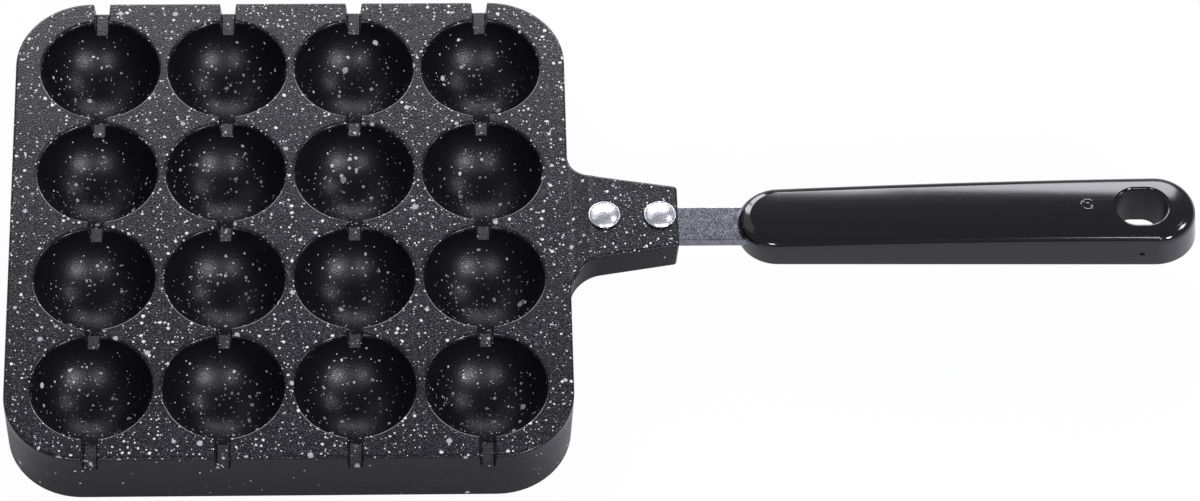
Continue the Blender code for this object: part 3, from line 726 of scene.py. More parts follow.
def rivet_row_tree() -> tuple[Tree, dict[str, str]]:
    """Build the tree that sets the same rivet at equal steps along X."""
    tree, identifiers = new_tree("rivet_row", {
        "Count": ("NodeSocketInt", 2), "Spacing": ("NodeSocketFloat", 0.01855),
        "Start": ("NodeSocketVector", None), "Material": ("NodeSocketMaterial", None)})
    source = add_node(tree, "NodeGroupInput")
    step = add_node(tree, "ShaderNodeCombineXYZ", {"X": source.outputs["Spacing"]})
    line = add_node(tree, "GeometryNodeMeshLine",
                    {"Count": source.outputs["Count"], "Start Location": source.outputs["Start"],
                     "Offset": step.outputs[0]})
    rivets = add_node(tree, "GeometryNodeInstanceOnPoints",
                      {"Points": line.outputs[0], "Instance": source.outputs["Geometry"]})
    close_tree(tree, rivets.outputs[0], source)
    return tree, identifiers


def run_tree(piece: Piece, tree: Tree, identifiers: dict[str, str],
             values: dict[str, Any]) -> Piece:
    """Run a tree on a piece and keep the result as a plain mesh.

    Args:
        piece: The object whose mesh goes in.
        tree: The tree.
        identifiers: Input name to socket identifier.
        values: Input name to value.

    Returns:
        The same object with the result as its mesh.
    """
    modifier = piece.modifiers.new(tree.name, "NODES")
    modifier.node_group = tree
    for name, value in values.items():
        modifier[identifiers[name]] = value
    return bake(piece, weighted=False)


# The pan's sizes, as its solids have them

@dataclass(frozen=True)
class PanSizes:
    """Sizes and places that several pieces share, in metres."""

    cup_columns: int = 4
    cup_rows: int = 4
    cup_radius: float = 0.0199
    cup_gap: float = 0.0032
    side_margin: float = 0.00875
    end_margin: float = 0.00805
    neck_reach: float = 0.0363
    neck_rise: float = 0.0035
    neck_roof: float = 0.0045
    rivet_root_distance: float = 0.01165
    rivet_spacing: float = 0.01855
    strap_showing: float = 0.0200
    strap_thickness: float = 0.0035
    tang_length: float = 0.0400
    screw_end_margin: float = 0.0150
    grip_length: float = 0.1549
    grip_floor: float = 0.0040
    plate_top: float = 0.0241
    gap: float = 0.0003
    overrun: float = 0.002

    @property
    def pitch(self) -> float:
        """Distance between the middles of two neighbouring cups."""
        return 2 * self.cup_radius + self.cup_gap

    @property
    def plate_length(self) -> float:
        """Plate's size along X."""
        return (self.cup_columns - 1) * self.pitch + 2 * (self.cup_radius + self.side_margin)

    @property
    def plate_width(self) -> float:
        """Plate's size along Y."""
        return (self.cup_rows - 1) * self.pitch + 2 * (self.cup_radius + self.end_margin)

    @property
    def plate_x(self) -> float:
        """X of the plate's middle."""
        return -(self.neck_reach + self.strap_showing + self.grip_length) / 2

    @property
    def root_x(self) -> float:
        """X of the plate's right side, where the neck starts."""
        return self.plate_x + self.plate_length / 2

    @property
    def tip_x(self) -> float:
        """X of the neck's tip."""
        return self.root_x + self.neck_reach

    @property
    def nose_x(self) -> float:
        """X of the grip's nose."""
        return self.tip_x + self.strap_showing

    @property
    def neck_top(self) -> float:
        """Height of the neck's level top."""
        return self.plate_top + self.neck_rise

    @property
    def strap_top(self) -> float:
        """Height of the strap's top."""
        return self.neck_top - self.neck_roof - self.gap

    @property
    def strap_foot(self) -> float:
        """Height of the strap's underside."""
        return self.strap_top - self.strap_thickness

    @property
    def tang_end_x(self) -> float:
        """X of the strap's end inside the grip."""
        return self.nose_x + self.tang_length

    @property
    def screw_x(self) -> float:
        """X of the screw's axis."""
        return self.tang_end_x - self.screw_end_margin

    @property
    def grip_foot(self) -> float:
        """Height of the grip's underside."""
        return self.strap_foot - self.gap - self.grip_floor


SIZES = PanSizes()


def dress(piece: Piece, material: Material, slot: str, *nodes: str) -> Piece:
    """Give a finished piece its material and its body, and hide the nodes that it stands for.

    Args:
        piece: The finished object.
        material: Its only material.
        slot: Not used.
        *nodes: CAD nodes that it replaces.

    Returns:
        The same object.
    """
    piece.data.materials.clear()
    piece.data.materials.append(material)
    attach(piece, "root")
    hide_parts(*nodes)
    LOG.info("%s: %d faces, stands for %s", piece.name, len(piece.data.polygons), ", ".join(nodes))
    return piece


# Sub-assemblies

@dataclass
class Casting:
    """The coated casting: plate, cups, slots, skirt and neck in one piece."""

    sizes: PanSizes = SIZES
    corner_radius: float = 0.0255
    skirt_wall: float = 0.0030
    skirt_draft: float = 0.0005
    foot_break: float = 0.0004
    edge_round: float = 0.0010
    thickness: float = 0.0032
    cavity_fillet: float = 0.0020
    cup_wall: float = 0.0029
    rim_round: float = 0.00090
    slot_mouth: float = 0.0053
    slot_floor: float = 0.0042
    slot_depth: float = 0.0062
    slot_bed: float = 0.0024
    slot_corner: float = 0.0010
    slot_edge: float = 0.00035
    slot_floor_round: float = 0.0005
    slot_steps: tuple[int, int] = (3, 4)
    bed_round: float = 0.001
    ramp_setback: float = 0.0008
    ramp_length: float = 0.0078
    ramp_ease: float = 0.14
    neck_drop: float = 0.0081
    neck_root_width: float = 0.0362
    neck_tip_width: float = 0.0246
    neck_fillet: float = 0.0105
    neck_sink: float = 0.0002
    neck_corner: float = 0.0013
    neck_tip_lean: float = 0.0005
    neck_wall: float = 0.0030
    hollow_start: float = 0.00365
    hollow_round: float = 0.001
    hollow_steps: int = 4
    bore_radius: float = 0.0028
    rim_weld: float = 2e-5        # keeps a cup's first ring off the foot of its rim's round
    cup_segments: int = 72
    cup_rings: int = 18
    shell_segments: int = 48
    shell_rings: int = 12
    corner_segments: int = 20
    round_steps: int = 5
    flare_steps: int = 18

    def plate_ring(self, inset: float, z: float) -> Ring:
        """Return the plate's outline at a height, drawn in by an inset."""
        half_x, half_y = self.sizes.plate_length / 2 - inset, self.sizes.plate_width / 2 - inset
        radius = self.corner_radius - inset
        ring = []
        for quarter_turn, (side_x, side_y) in enumerate(((1, 1), (-1, 1), (-1, -1), (1, -1))):
            for step in range(self.corner_segments + 1):
                turn = (quarter_turn + step / self.corner_segments) * pi / 2
                ring.append(Vector((self.sizes.plate_x + side_x * (half_x - radius) + radius * cos(turn),
                                    side_y * (half_y - radius) + radius * sin(turn), z)))
        return ring

    def blank(self) -> Piece:
        """Return the plate's outer block, with its leaning skirt and rounded top edge."""
        rings = [self.plate_ring(self.skirt_draft + self.foot_break, 0.0),
                 self.plate_ring(self.skirt_draft, self.foot_break)]
        for inset, rise in quarter(self.edge_round, self.round_steps):
            rings.append(self.plate_ring(inset, self.sizes.plate_top - self.edge_round + rise))
        return make_lofts("coated_casting", rings)

    def cavity(self) -> Piece:
        """Return the tool that hollows the plate from below."""
        ceiling = self.sizes.plate_top - self.thickness
        rings = [self.plate_ring(self.skirt_wall + self.skirt_draft, -self.sizes.overrun)]
        for inset, rise in quarter(self.cavity_fillet, self.round_steps):
            rings.append(self.plate_ring(self.skirt_wall + inset, ceiling - self.cavity_fillet + rise))
        return make_lofts("cavity_tool", rings)

    def bowl(self, name: str, radius: float, depth: float, segments: int, rings: int,
             mouth: list[tuple[float, float]]) -> Piece:
        """Return one bowl round the origin's axis.

        Args:
            name: The object's name.
            radius: Radius of the half ball.
            depth: How far below the plate's top its ball starts.
            segments: Sides of a turn.
            rings: Rings from the start to the pole.
            mouth: Profile points above the ball.

        Returns:
            The closed bowl.
        """
        top = self.sizes.plate_top
        start = depth / radius
        profile = list(mouth)
        for step in range(rings):
            turn = start + (pi / 2 - start) * step / rings
            profile.append((radius * cos(turn), top - radius * sin(turn)))
        return make_lathe(name, profile, segments, top - radius)

    def grid(self, bowl: Piece, phase: int, material: Material) -> Piece:
        """Set a bowl at every other place of the grid of cups."""
        tree, identifiers = cup_grid_tree()
        return run_tree(bowl, tree, identifiers, {
            "Columns": self.sizes.cup_columns, "Rows": self.sizes.cup_rows, "Pitch": self.sizes.pitch,
            "Phase": phase, "Centre": (self.sizes.plate_x, 0.0, 0.0), "Material": material})

    def cup_tool(self) -> Piece:
        """Return the tool for one cup, which leaves a small round on its rim."""
        top = self.sizes.plate_top
        outer = self.sizes.cup_radius + self.rim_round
        mouth = [(outer, top + self.sizes.overrun)]
        for inset, rise in reversed(quarter(self.rim_round, self.round_steps)):
            mouth.append((self.sizes.cup_radius + inset, top - self.rim_round + rise))
        return self.bowl("cup_tool", self.sizes.cup_radius, self.rim_round + self.rim_weld,
                         self.cup_segments, self.cup_rings, mouth)

    def shell(self) -> Piece:
        """Return the outer half ball of one cup."""
        return self.bowl("cup_shell", self.sizes.cup_radius + self.cup_wall, self.thickness / 2,
                         self.shell_segments, self.shell_rings, [])

    def column_xs(self) -> list[float]:
        """Return the X of each column of cups."""
        middle = (self.sizes.cup_columns - 1) / 2
        return [self.sizes.plate_x + (column - middle) * self.sizes.pitch
                for column in range(self.sizes.cup_columns)]

    def beds(self) -> Piece:
        """Return the bars under the plate that carry the slots to the skirt."""
        reach = self.sizes.plate_width / 2 - self.skirt_wall / 2
        half = self.slot_mouth / 2 + self.slot_bed
        low = self.sizes.plate_top - self.slot_depth - self.slot_bed
        high = self.sizes.plate_top - self.thickness / 2
        foot = [(half - self.bed_round + rise, low + inset)
                for inset, rise in quarter(self.bed_round, self.round_steps)]
        section = foot + [(half, high)]
        section += [(-across, z) for across, z in reversed(section)]
        return make_lofts("slot_beds", *([[Vector((x + across, y, z)) for across, z in section]
                                          for y in (-reach, reach)] for x in self.column_xs()))

    def slot_section(self, spread: float) -> list[tuple[float, float]]:
        """Return one slot's section as (across, height) points, widened by a spread."""
        top = self.sizes.plate_top
        low = top - self.slot_depth
        corner, (floor_steps, edge_steps) = self.slot_floor_round, self.slot_steps
        floor_half, mouth_half = self.slot_floor / 2 + spread, self.slot_mouth / 2 + spread
        side = [(floor_half - corner + rise, low + inset) for inset, rise in quarter(corner, floor_steps)]
        side += [(mouth_half + inset, top - self.slot_edge + rise)
                 for inset, rise in quarter(self.slot_edge, edge_steps)]
        side.append((mouth_half + self.slot_edge, top + self.sizes.overrun))
        return side + [(-across, z) for across, z in reversed(side)]

    def slots(self) -> Piece:
        """Return the tool that cuts the slots, with round mouths at the skirt."""
        face = self.sizes.plate_width / 2
        mouth = [(face - self.slot_corner + rise, inset)
                 for inset, rise in quarter(self.slot_corner, self.round_steps)]
        mouth.append((face + self.sizes.overrun, self.slot_corner))
        stations = [(-y, spread) for y, spread in reversed(mouth)] + mouth
        return make_lofts("slot_tool", *([[Vector((x + across, y, z))
                                           for across, z in self.slot_section(spread)]
                                          for y, spread in stations] for x in self.column_xs()))

    def neck_half_width(self, x: float) -> float:
        """Return half the neck's straight, tapering width."""
        share = (x - self.sizes.root_x) / self.sizes.neck_reach
        return (self.neck_root_width + (self.neck_tip_width - self.neck_root_width) * share) / 2

    def neck_height(self, x: float) -> float:
        """Return the height of the neck's top: level, a straight ramp with small rounds, then level."""
        share = min(max((x - self.sizes.root_x - self.ramp_setback) / self.ramp_length, 0.0), 1.0)
        ease = self.ramp_ease
        slope = 1 / (1 - ease)
        near = min(share, 1 - share)
        rise = slope * near * near / (2 * ease) if near < ease else slope * (near - ease / 2)
        return self.sizes.plate_top + self.sizes.neck_rise * (rise if share < 0.5 else 1 - rise)

    def neck_side(self, inset: float, tip_lean: float = 0.0) -> list[tuple[float, float]]:
        """Return plan points along the neck's side, from inside the skirt to the tip."""
        middle_x = self.sizes.root_x - self.neck_sink + self.neck_fillet
        reach = self.neck_fillet + inset
        points = []
        for step in range(self.flare_steps + 1):
            turn = step / self.flare_steps * pi / 2
            foot = self.neck_half_width(middle_x - self.neck_fillet * cos(turn))
            points.append((middle_x - reach * cos(turn), foot + self.neck_fillet - reach * sin(turn)))
        points.insert(0, (self.sizes.root_x - self.skirt_wall / 2, points[0][1]))
        corner_x = self.sizes.tip_x - tip_lean - self.neck_corner
        corner_y = self.neck_half_width(self.sizes.tip_x) - self.neck_corner
        for step in range(self.round_steps + 1):
            turn = step / self.round_steps * pi / 2
            reach = self.neck_corner - inset
            points.append((corner_x + reach * sin(turn), corner_y + reach * cos(turn)))
        return points

    def neck(self) -> Piece:
        """Return the solid neck, which flares into the plate and steps up by a ramp."""
        mesh = bmesh.new()
        edge = self.neck_side(0.0)
        low = self.sizes.plate_top - self.neck_drop
        lean = self.neck_tip_lean
        rings = [mirrored([Vector((x, y, low)) for x, y in self.neck_side(self.foot_break, lean)]),
                 mirrored([Vector((x, y, low + self.foot_break)) for x, y in self.neck_side(0.0, lean)])]
        for inset, rise in quarter(self.edge_round, self.round_steps):
            rings.append(mirrored([Vector((x, y, self.neck_height(edge_x) - self.edge_round + rise))
                                   for (x, y), (edge_x, _) in zip(self.neck_side(inset), edge)]))
        add_ladder_loft(mesh, rings)
        return make_object("neck_blank", mesh)

    def neck_hollow(self) -> Piece:
        """Return the tool that hollows the neck from below and through its tip."""
        low = self.sizes.plate_top - self.neck_drop - self.sizes.overrun
        ceiling = self.sizes.neck_top - self.sizes.neck_roof
        rings = []
        for x in (self.sizes.root_x + self.hollow_start, self.sizes.tip_x + self.sizes.overrun):
            half = self.neck_half_width(x) - self.neck_wall
            side = [Vector((x, half, low))]
            side += [Vector((x, half - inset, ceiling - self.hollow_round + rise))
                     for inset, rise in quarter(self.hollow_round, self.hollow_steps)]
            rings.append(mirrored(side))
        return make_lofts("neck_hollow_tool", rings)

    def bores(self) -> Piece:
        """Return the tool for both rivet holes."""
        first = self.sizes.root_x + self.sizes.rivet_root_distance
        low, high = self.sizes.plate_top - self.neck_drop, self.sizes.neck_top + self.sizes.overrun
        return make_lofts("rivet_bores", *(
            [circle(self.bore_radius, z, BORE_SEGMENTS, (x, 0.0)) for z in (low, high)]
            for x in (first, first + self.sizes.rivet_spacing)))

    def build(self, material: Material) -> Piece:
        """Build and dress the casting."""
        piece = self.blank()
        use_tool(piece, self.cavity(), Cut.REMOVE)
        use_tool(piece, self.beds(), Cut.JOIN)
        for phase in (0, 1):
            use_tool(piece, self.grid(self.shell(), phase, material), Cut.JOIN)
        use_tool(piece, self.neck(), Cut.JOIN)
        for phase in (0, 1):
            use_tool(piece, self.grid(self.cup_tool(), phase, material), Cut.REMOVE)
        use_tool(piece, self.slots(), Cut.REMOVE)
        use_tool(piece, self.neck_hollow(), Cut.REMOVE)
        use_tool(piece, self.bores(), Cut.REMOVE)
        return dress(bake(piece), material, "stone_coating", "pan_casting")


@dataclass
class HandleStrap:
    """The flat steel bar with broken edges, from under the neck to the end of its tang."""

    sizes: PanSizes = SIZES
    width: float = 0.0136
    end_margin: float = 0.0065
    bore_radius: float = 0.0028
    screw_bore_radius: float = 0.0022
    edge_round: float = 0.0004
    edge_steps: int = 4
    end_break: float = 0.0003

    def section(self, x: float, inset: float) -> Ring:
        """Return the bar's section at a place along X, drawn in by an inset."""
        half, low, high = self.width / 2 - inset, self.sizes.strap_foot + inset, self.sizes.strap_top - inset
        edges = quarter(self.edge_round, self.edge_steps)
        side = [(half - sunk, low + self.edge_round - rise) for sunk, rise in reversed(edges)]
        side += [(half - sunk, high - self.edge_round + rise) for sunk, rise in edges]
        return mirrored([Vector((x, y, z)) for y, z in side])

    def build(self, material: Material) -> Piece:
        """Build and dress the strap."""
        first = self.sizes.root_x + self.sizes.rivet_root_distance
        start, stop = first - self.end_margin, self.sizes.tang_end_x
        piece = make_lofts("steel_strap", [self.section(x, inset) for x, inset in (
            (start, self.end_break), (start + self.end_break, 0.0), (stop - self.end_break, 0.0),
            (stop, self.end_break))])
        low, high = self.sizes.strap_foot - OVERCUT, self.sizes.strap_top + OVERCUT
        places = [(first, self.bore_radius), (first + self.sizes.rivet_spacing, self.bore_radius),
                  (self.sizes.screw_x, self.screw_bore_radius)]
        holes = make_lofts("strap_bores", *([circle(radius, z, BORE_SEGMENTS, (x, 0.0))
                                             for z in (low, high)] for x, radius in places))
        use_tool(piece, holes, Cut.REMOVE)
        return dress(bake(piece), material, "strap_steel", "handle_strap")


@dataclass
class RivetPair:
    """Two dome-headed rivets, each closed by a flat tail under the strap."""

    sizes: PanSizes = SIZES
    head_radius: float = 0.0053
    head_height: float = 0.0022
    head_edge: float = 0.0005
    head_break: float = 0.0001
    rim_round: float = 0.00015
    rim_steps: int = 4
    rim_groove: float = 0.00010
    shank_radius: float = 0.0025
    tail_radius: float = 0.0037
    tail_height: float = 0.0016
    tail_break: float = 0.0003
    dome_steps: int = 14
    crease: float = 40.0

    def profile(self) -> list[tuple[float, float]]:
        """Return the (radius, height) points of a rivet, from its tail to its crown."""
        seat = self.sizes.neck_top + self.sizes.gap
        under = self.sizes.strap_foot - self.sizes.gap
        foot = under - self.tail_height
        points = [(self.tail_radius - self.tail_break, foot), (self.tail_radius, foot + self.tail_break),
                  (self.tail_radius, under), (self.shank_radius, under), (self.shank_radius, seat),
                  (self.head_radius - self.head_break, seat), (self.head_radius, seat + self.head_break)]
        for inset, rise in quarter(self.rim_round, self.rim_steps):
            points.append((self.head_radius - inset, seat + self.head_edge - self.rim_round + rise))
        foot_radius = self.head_radius - 2 * self.rim_round
        points.append((foot_radius, seat + self.head_edge - self.rim_groove))
        dome = self.head_height - self.head_edge
        ball = (foot_radius ** 2 + dome ** 2) / (2 * dome)
        for step in range(1, self.dome_steps):
            reach = foot_radius * (1 - step / self.dome_steps)
            points.append((reach, seat + self.head_height - ball + (ball ** 2 - reach ** 2) ** 0.5))
        return points

    def build(self, material: Material) -> Piece:
        """Build and dress both rivets as one piece."""
        crown = self.sizes.neck_top + self.sizes.gap + self.head_height
        piece = make_lathe("dome_rivets", self.profile(), TURN_SEGMENTS, crown)
        tree, identifiers = rivet_row_tree()
        start = (self.sizes.root_x + self.sizes.rivet_root_distance, 0.0, 0.0)
        run_tree(piece, tree, identifiers, {"Count": 2, "Spacing": self.sizes.rivet_spacing, "Start": start,
                                            "Material": material})
        return dress(bake(piece, self.crease), material, "rivet_aluminium", "rivet_inner", "rivet_outer")


@dataclass
class Grip:
    """The moulded grip, with its pocket, hanging hole, screw recess and small marks."""

    sizes: PanSizes = SIZES
    nose_width: float = 0.0240
    end_width: float = 0.0266
    cover: float = 0.0004
    rise: float = 0.0044
    nose_round: float = 0.0136
    nose_lean: float = 0.0005
    end_round: float = 0.0147
    end_lean: float = 0.0014
    edge_round: float = 0.0030
    nose_edge_round: float = 0.0040
    crown: float = 0.0010
    nose_crown: float = 0.0005
    crown_growth: float = 0.0006
    foot_round: float = 0.0015
    hole_length: float = 0.0175
    hole_width: float = 0.0141
    hole_draft: float = 0.0013
    hole_lip: float = 0.00085
    hole_foot_lip: float = 0.0003
    hole_end_distance: float = 0.0197
    ring_radius: float = 0.0024
    ring_wall: float = 0.0009
    ring_height: float = 0.00014
    ring_steps: int = 8
    ring_dot_radius: float = 0.0009
    ring_end_distance: float = 0.0379
    ring_offset: float = 0.0007
    dimple_radius: float = 0.0010
    dimple_profile: tuple[tuple[float, float], ...] = (  # share of the radius, depth
        (1.0, -OVERCUT), (0.9, 0.0006), (0.6, 0.0008))
    dimple_height: float = 0.0073
    screw_head_radius: float = 0.0034
    screw_seat: float = 0.0027
    screw_bore_radius: float = 0.0022
    recess_break: float = 0.0004
    pocket_width: float = 0.0142
    pocket_corner: float = 0.0003
    nose_segments: int = 18
    side_segments: int = 40
    edge_steps: int = 8
    crown_rings: int = 12
    hole_segments: int = 64

    @property
    def end_x(self) -> float:
        """X of the grip's far end."""
        return self.sizes.nose_x + self.sizes.grip_length

    @property
    def hole_x(self) -> float:
        """X of the hanging hole's middle."""
        return self.end_x - self.hole_end_distance

    def half_width(self, x: float) -> float:
        """Return half the grip's width between its rounded ends."""
        share = (x - self.sizes.nose_x) / self.sizes.grip_length
        return (self.nose_width + (self.end_width - self.nose_width) * share) / 2

    def shoulder(self, x: float) -> float:
        """Return the height where the side's round ends."""
        left = 1 - (x - self.sizes.nose_x) / self.sizes.grip_length
        start = self.sizes.strap_top + self.sizes.gap + self.cover + self.edge_round
        return start + self.rise * (1 - left ** 2)

    def top(self, x: float, y: float) -> float:
        """Return the height of the crowned top."""
        nose = max(self.sizes.nose_x + self.nose_round - x, 0.0) / self.nose_round
        end = max(x - self.end_x + self.end_round, 0.0) / (self.end_round - self.end_lean)
        outwards = nose * nose + end * end + (y / self.half_width(x)) ** 2
        share = (x - self.sizes.nose_x) / self.sizes.grip_length
        crown = min(self.crown, self.nose_crown + self.crown_growth * share)
        return self.shoulder(x) + crown * (1 - outwards)

    def side(self, nose_lean: float,
             end_lean: float) -> list[tuple[float, tuple[float, float], tuple[float, float], float]]:
        """Return each side point's spine, way out, reach and edge round.

        Args:
            nose_lean: How far the nose is drawn in.
            end_lean: How far the far end is drawn in.

        Returns:
            The points on the positive Y side, from the nose to the far end.
        """
        start, stop = self.sizes.nose_x + self.nose_round, self.end_x - self.end_round
        half_step = pi / 4 / self.nose_segments
        side = []
        for step in range(self.nose_segments):
            turn = (2 * step + 1) * half_step
            edge = self.edge_round + (self.nose_edge_round - self.edge_round) * cos(turn) ** 2
            side.append((start, (-cos(turn) / cos(half_step), sin(turn)),
                         (self.nose_round - nose_lean, self.half_width(start)), edge))
        for step in range(self.side_segments + 1):
            x = start + (stop - start) * step / self.side_segments
            side.append((x, (0.0, 1.0), (0.0, self.half_width(x)), self.edge_round))
        for step in reversed(range(self.nose_segments)):
            turn = (2 * step + 1) * half_step
            side.append((stop, (cos(turn) / cos(half_step), sin(turn)),
                         (self.end_round - end_lean, self.half_width(stop)), self.edge_round))
        return side

    def blank(self) -> Piece:
        """Return the outer form, built up in rings from the foot to the spine of the crown."""
        mesh = bmesh.new()
        rings = []
        for inset, rise in reversed(quarter(self.foot_round, self.edge_steps)):
            z = self.sizes.grip_foot + self.foot_round - rise
            ring = []
            for spine, way, reach, _ in self.side(self.nose_lean, 0.0):
                ring.append(Vector((spine + way[0] * (reach[0] - inset), way[1] * (reach[1] - inset), z)))
            rings.append(mirrored(ring))
        side = self.side(0.0, self.end_lean)
        for inset, rise in quarter(1.0, self.edge_steps)[:-1]:
            ring = []
            for spine, way, reach, edge in side:
                x = spine + way[0] * (reach[0] - edge * inset)
                y = way[1] * (reach[1] - edge * inset)
                ring.append(Vector((x, y, self.shoulder(x) - edge * (1 - rise))))
            rings.append(mirrored(ring))
        for step in range(self.crown_rings):
            share = (step / self.crown_rings) ** 1.5
            ring = []
            for spine, way, reach, edge in side:
                x = spine + way[0] * (reach[0] - edge) * (1 - share)
                y = way[1] * (reach[1] - edge) * (1 - share)
                ring.append(Vector((x, y, self.top(x, y))))
            rings.append(mirrored(ring))
        add_ladder_loft(mesh, rings)
        return make_object("bakelite_grip", mesh)

    def stadium(self, inset: float) -> list[tuple[float, float]]:
        """Return plan points round the hanging hole, drawn in by an inset."""
        radius = self.hole_width / 2 - inset
        straight = (self.hole_length - self.hole_width) / 2
        points = []
        for index in range(self.hole_segments):
            turn = 2 * pi * (index + 0.5) / self.hole_segments
            side = 1 if cos(turn) > 0 else -1
            points.append((self.hole_x + side * straight + radius * cos(turn), radius * sin(turn)))
        return points

    def hole(self) -> Piece:
        """Return the tool that cuts the hanging hole, which draws in downwards, with both mouths rounded."""
        foot, foot_inset = self.sizes.grip_foot, self.hole_draft - self.hole_foot_lip
        rings = [[Vector((x, y, foot - self.sizes.overrun)) for x, y in self.stadium(foot_inset)]]
        for inset, rise in quarter(self.hole_foot_lip, self.edge_steps):
            rings.append([Vector((x, y, foot + rise)) for x, y in self.stadium(foot_inset + inset)])
        for inset, rise in reversed(quarter(self.hole_lip, self.edge_steps)):
            rings.append([Vector((x, y, self.top(x, y) - rise))
                          for x, y in self.stadium(inset - self.hole_lip)])
        ceiling = self.top(self.hole_x, 0.0) + self.sizes.overrun
        rings.append([Vector((x, y, ceiling)) for x, y in self.stadium(-self.hole_lip)])
        return make_lofts("hole_tool", rings)

    def pocket(self) -> Piece:
        """Return the tool for the tang's pocket."""
        high, low = self.sizes.strap_top + self.sizes.gap, self.sizes.strap_foot - self.sizes.gap
        half, corner = self.pocket_width / 2, self.pocket_corner
        section = ((half - corner, low), (half, low + corner), (half, high - corner), (half - corner, high))
        ends = (self.sizes.nose_x - self.sizes.overrun, self.sizes.tang_end_x + self.sizes.gap)
        return make_lofts("pocket_tool", [mirrored([Vector((x, y, z)) for y, z in section])
                                          for x in ends])

    def screw_recess(self) -> Piece:
        """Return the tool for the screw's counterbore and clearance hole."""
        foot, wide = self.sizes.grip_foot, self.screw_head_radius + self.sizes.gap
        mouth = wide + self.recess_break
        profile = [(mouth, foot - OVERCUT), (mouth, foot), (wide, foot + self.recess_break),
                   (wide, foot + self.screw_seat), (self.screw_bore_radius, foot + self.screw_seat),
                   (self.screw_bore_radius, self.sizes.strap_top)]
        return make_lathe("screw_recess_tool", profile, TURN_SEGMENTS, centre=(self.sizes.screw_x, 0.0))

    def ring_mark(self) -> Piece:
        """Return the small moulded ring and dot that stand on the grip's top."""
        mesh = bmesh.new()
        x, y = self.end_x - self.ring_end_distance, self.ring_offset
        top = self.top(x, y)
        low, soft = top - self.ring_wall, self.ring_height / 2
        outer, inner = self.ring_radius, self.ring_radius - self.ring_wall
        profile = [(outer, low)]
        for step in range(self.ring_steps + 1):
            share = step / self.ring_steps
            swell = self.ring_height * (1 - (2 * share - 1) ** 2) - soft / 2
            profile.append((outer - self.ring_wall * share, top + swell))
        profile.append((inner, low))
        rows = add_walls(mesh, [circle(radius, z, TURN_SEGMENTS, (x, y)) for radius, z in profile])
        for index in range(TURN_SEGMENTS):
            after = (index + 1) % TURN_SEGMENTS
            mesh.faces.new((rows[-1][index], rows[-1][after], rows[0][after], rows[0][index]))
        add_loft(mesh, [circle(radius, z, BORE_SEGMENTS, (x, y)) for radius, z in
                        ((self.ring_dot_radius, low), (self.ring_dot_radius, top),
                         (self.ring_dot_radius * 0.6, top + soft / 2))], Vector((x, y, top + 0.7 * soft)))
        return make_object("ring_mark", mesh)

    def dimple(self) -> Piece:
        """Return the tool for the gate dimple in the front side."""
        face = -self.half_width(self.hole_x)
        z = self.sizes.grip_foot + self.dimple_height
        rings = []
        for share, depth in self.dimple_profile:
            rings.append([Vector((self.hole_x + place.x, face + depth, z + place.y))
                          for place in circle(self.dimple_radius * share, 0.0, BORE_SEGMENTS)])
        return make_lofts("dimple_tool", rings)

    def build(self, material: Material) -> Piece:
        """Build and dress the grip."""
        piece = self.blank()
        use_tool(piece, self.ring_mark(), Cut.JOIN)
        for tool in (self.hole(), self.pocket(), self.screw_recess(), self.dimple()):
            use_tool(piece, tool, Cut.REMOVE)
        return dress(bake(piece), material, "bakelite", "grip")


@dataclass
class GripScrew:
    """The cross-recessed screw that holds the tang in the grip."""

    sizes: PanSizes = SIZES
    head_radius: float = 0.0034
    head_height: float = 0.0019
    head_dome: float = 0.0008
    dome_steps: int = 6
    sink: float = 0.0005
    shank_radius: float = 0.0019
    recess_width: float = 0.0008
    recess_reach: float = 0.0019
    recess_depth: float = 0.0011
    recess_taper: float = 0.6

    def cross(self, reach: float, z: float) -> Ring:
        """Return the twelve corners of the recess's cross at a height."""
        near, quarter_turn = self.recess_width / 2, Matrix.Rotation(pi / 2, 3, "Z")
        ring = []
        arm = [Vector((reach, -near, z)), Vector((reach, near, z)), Vector((near, near, z))]
        for _ in range(4):
            ring += [corner + Vector((self.sizes.screw_x, 0.0, 0.0)) for corner in arm]
            arm = [quarter_turn @ corner for corner in arm]
        return ring

    def build(self, material: Material) -> Piece:
        """Build and dress the screw."""
        low = self.sizes.grip_foot + self.sink
        seat = low + self.head_height
        profile = []
        for step in range(1, self.dome_steps + 1):
            turn = step / self.dome_steps * pi / 2
            profile.append((self.head_radius * sin(turn), low + self.head_dome * (1 - cos(turn))))
        profile += [(self.head_radius, seat), (self.shank_radius, seat),
                    (self.shank_radius, self.sizes.strap_top - self.sizes.gap)]
        piece = make_lathe("grip_fixing_screw", profile, TURN_SEGMENTS, centre=(self.sizes.screw_x, 0.0))
        recess = make_lofts("cross_recess", [
            self.cross(self.recess_reach, low - OVERCUT), self.cross(self.recess_reach, low),
            self.cross(self.recess_reach * self.recess_taper, low + self.recess_depth)])
        use_tool(piece, recess, Cut.REMOVE)
        return dress(bake(piece), material, "screw_steel", "grip_screw")


# The studio

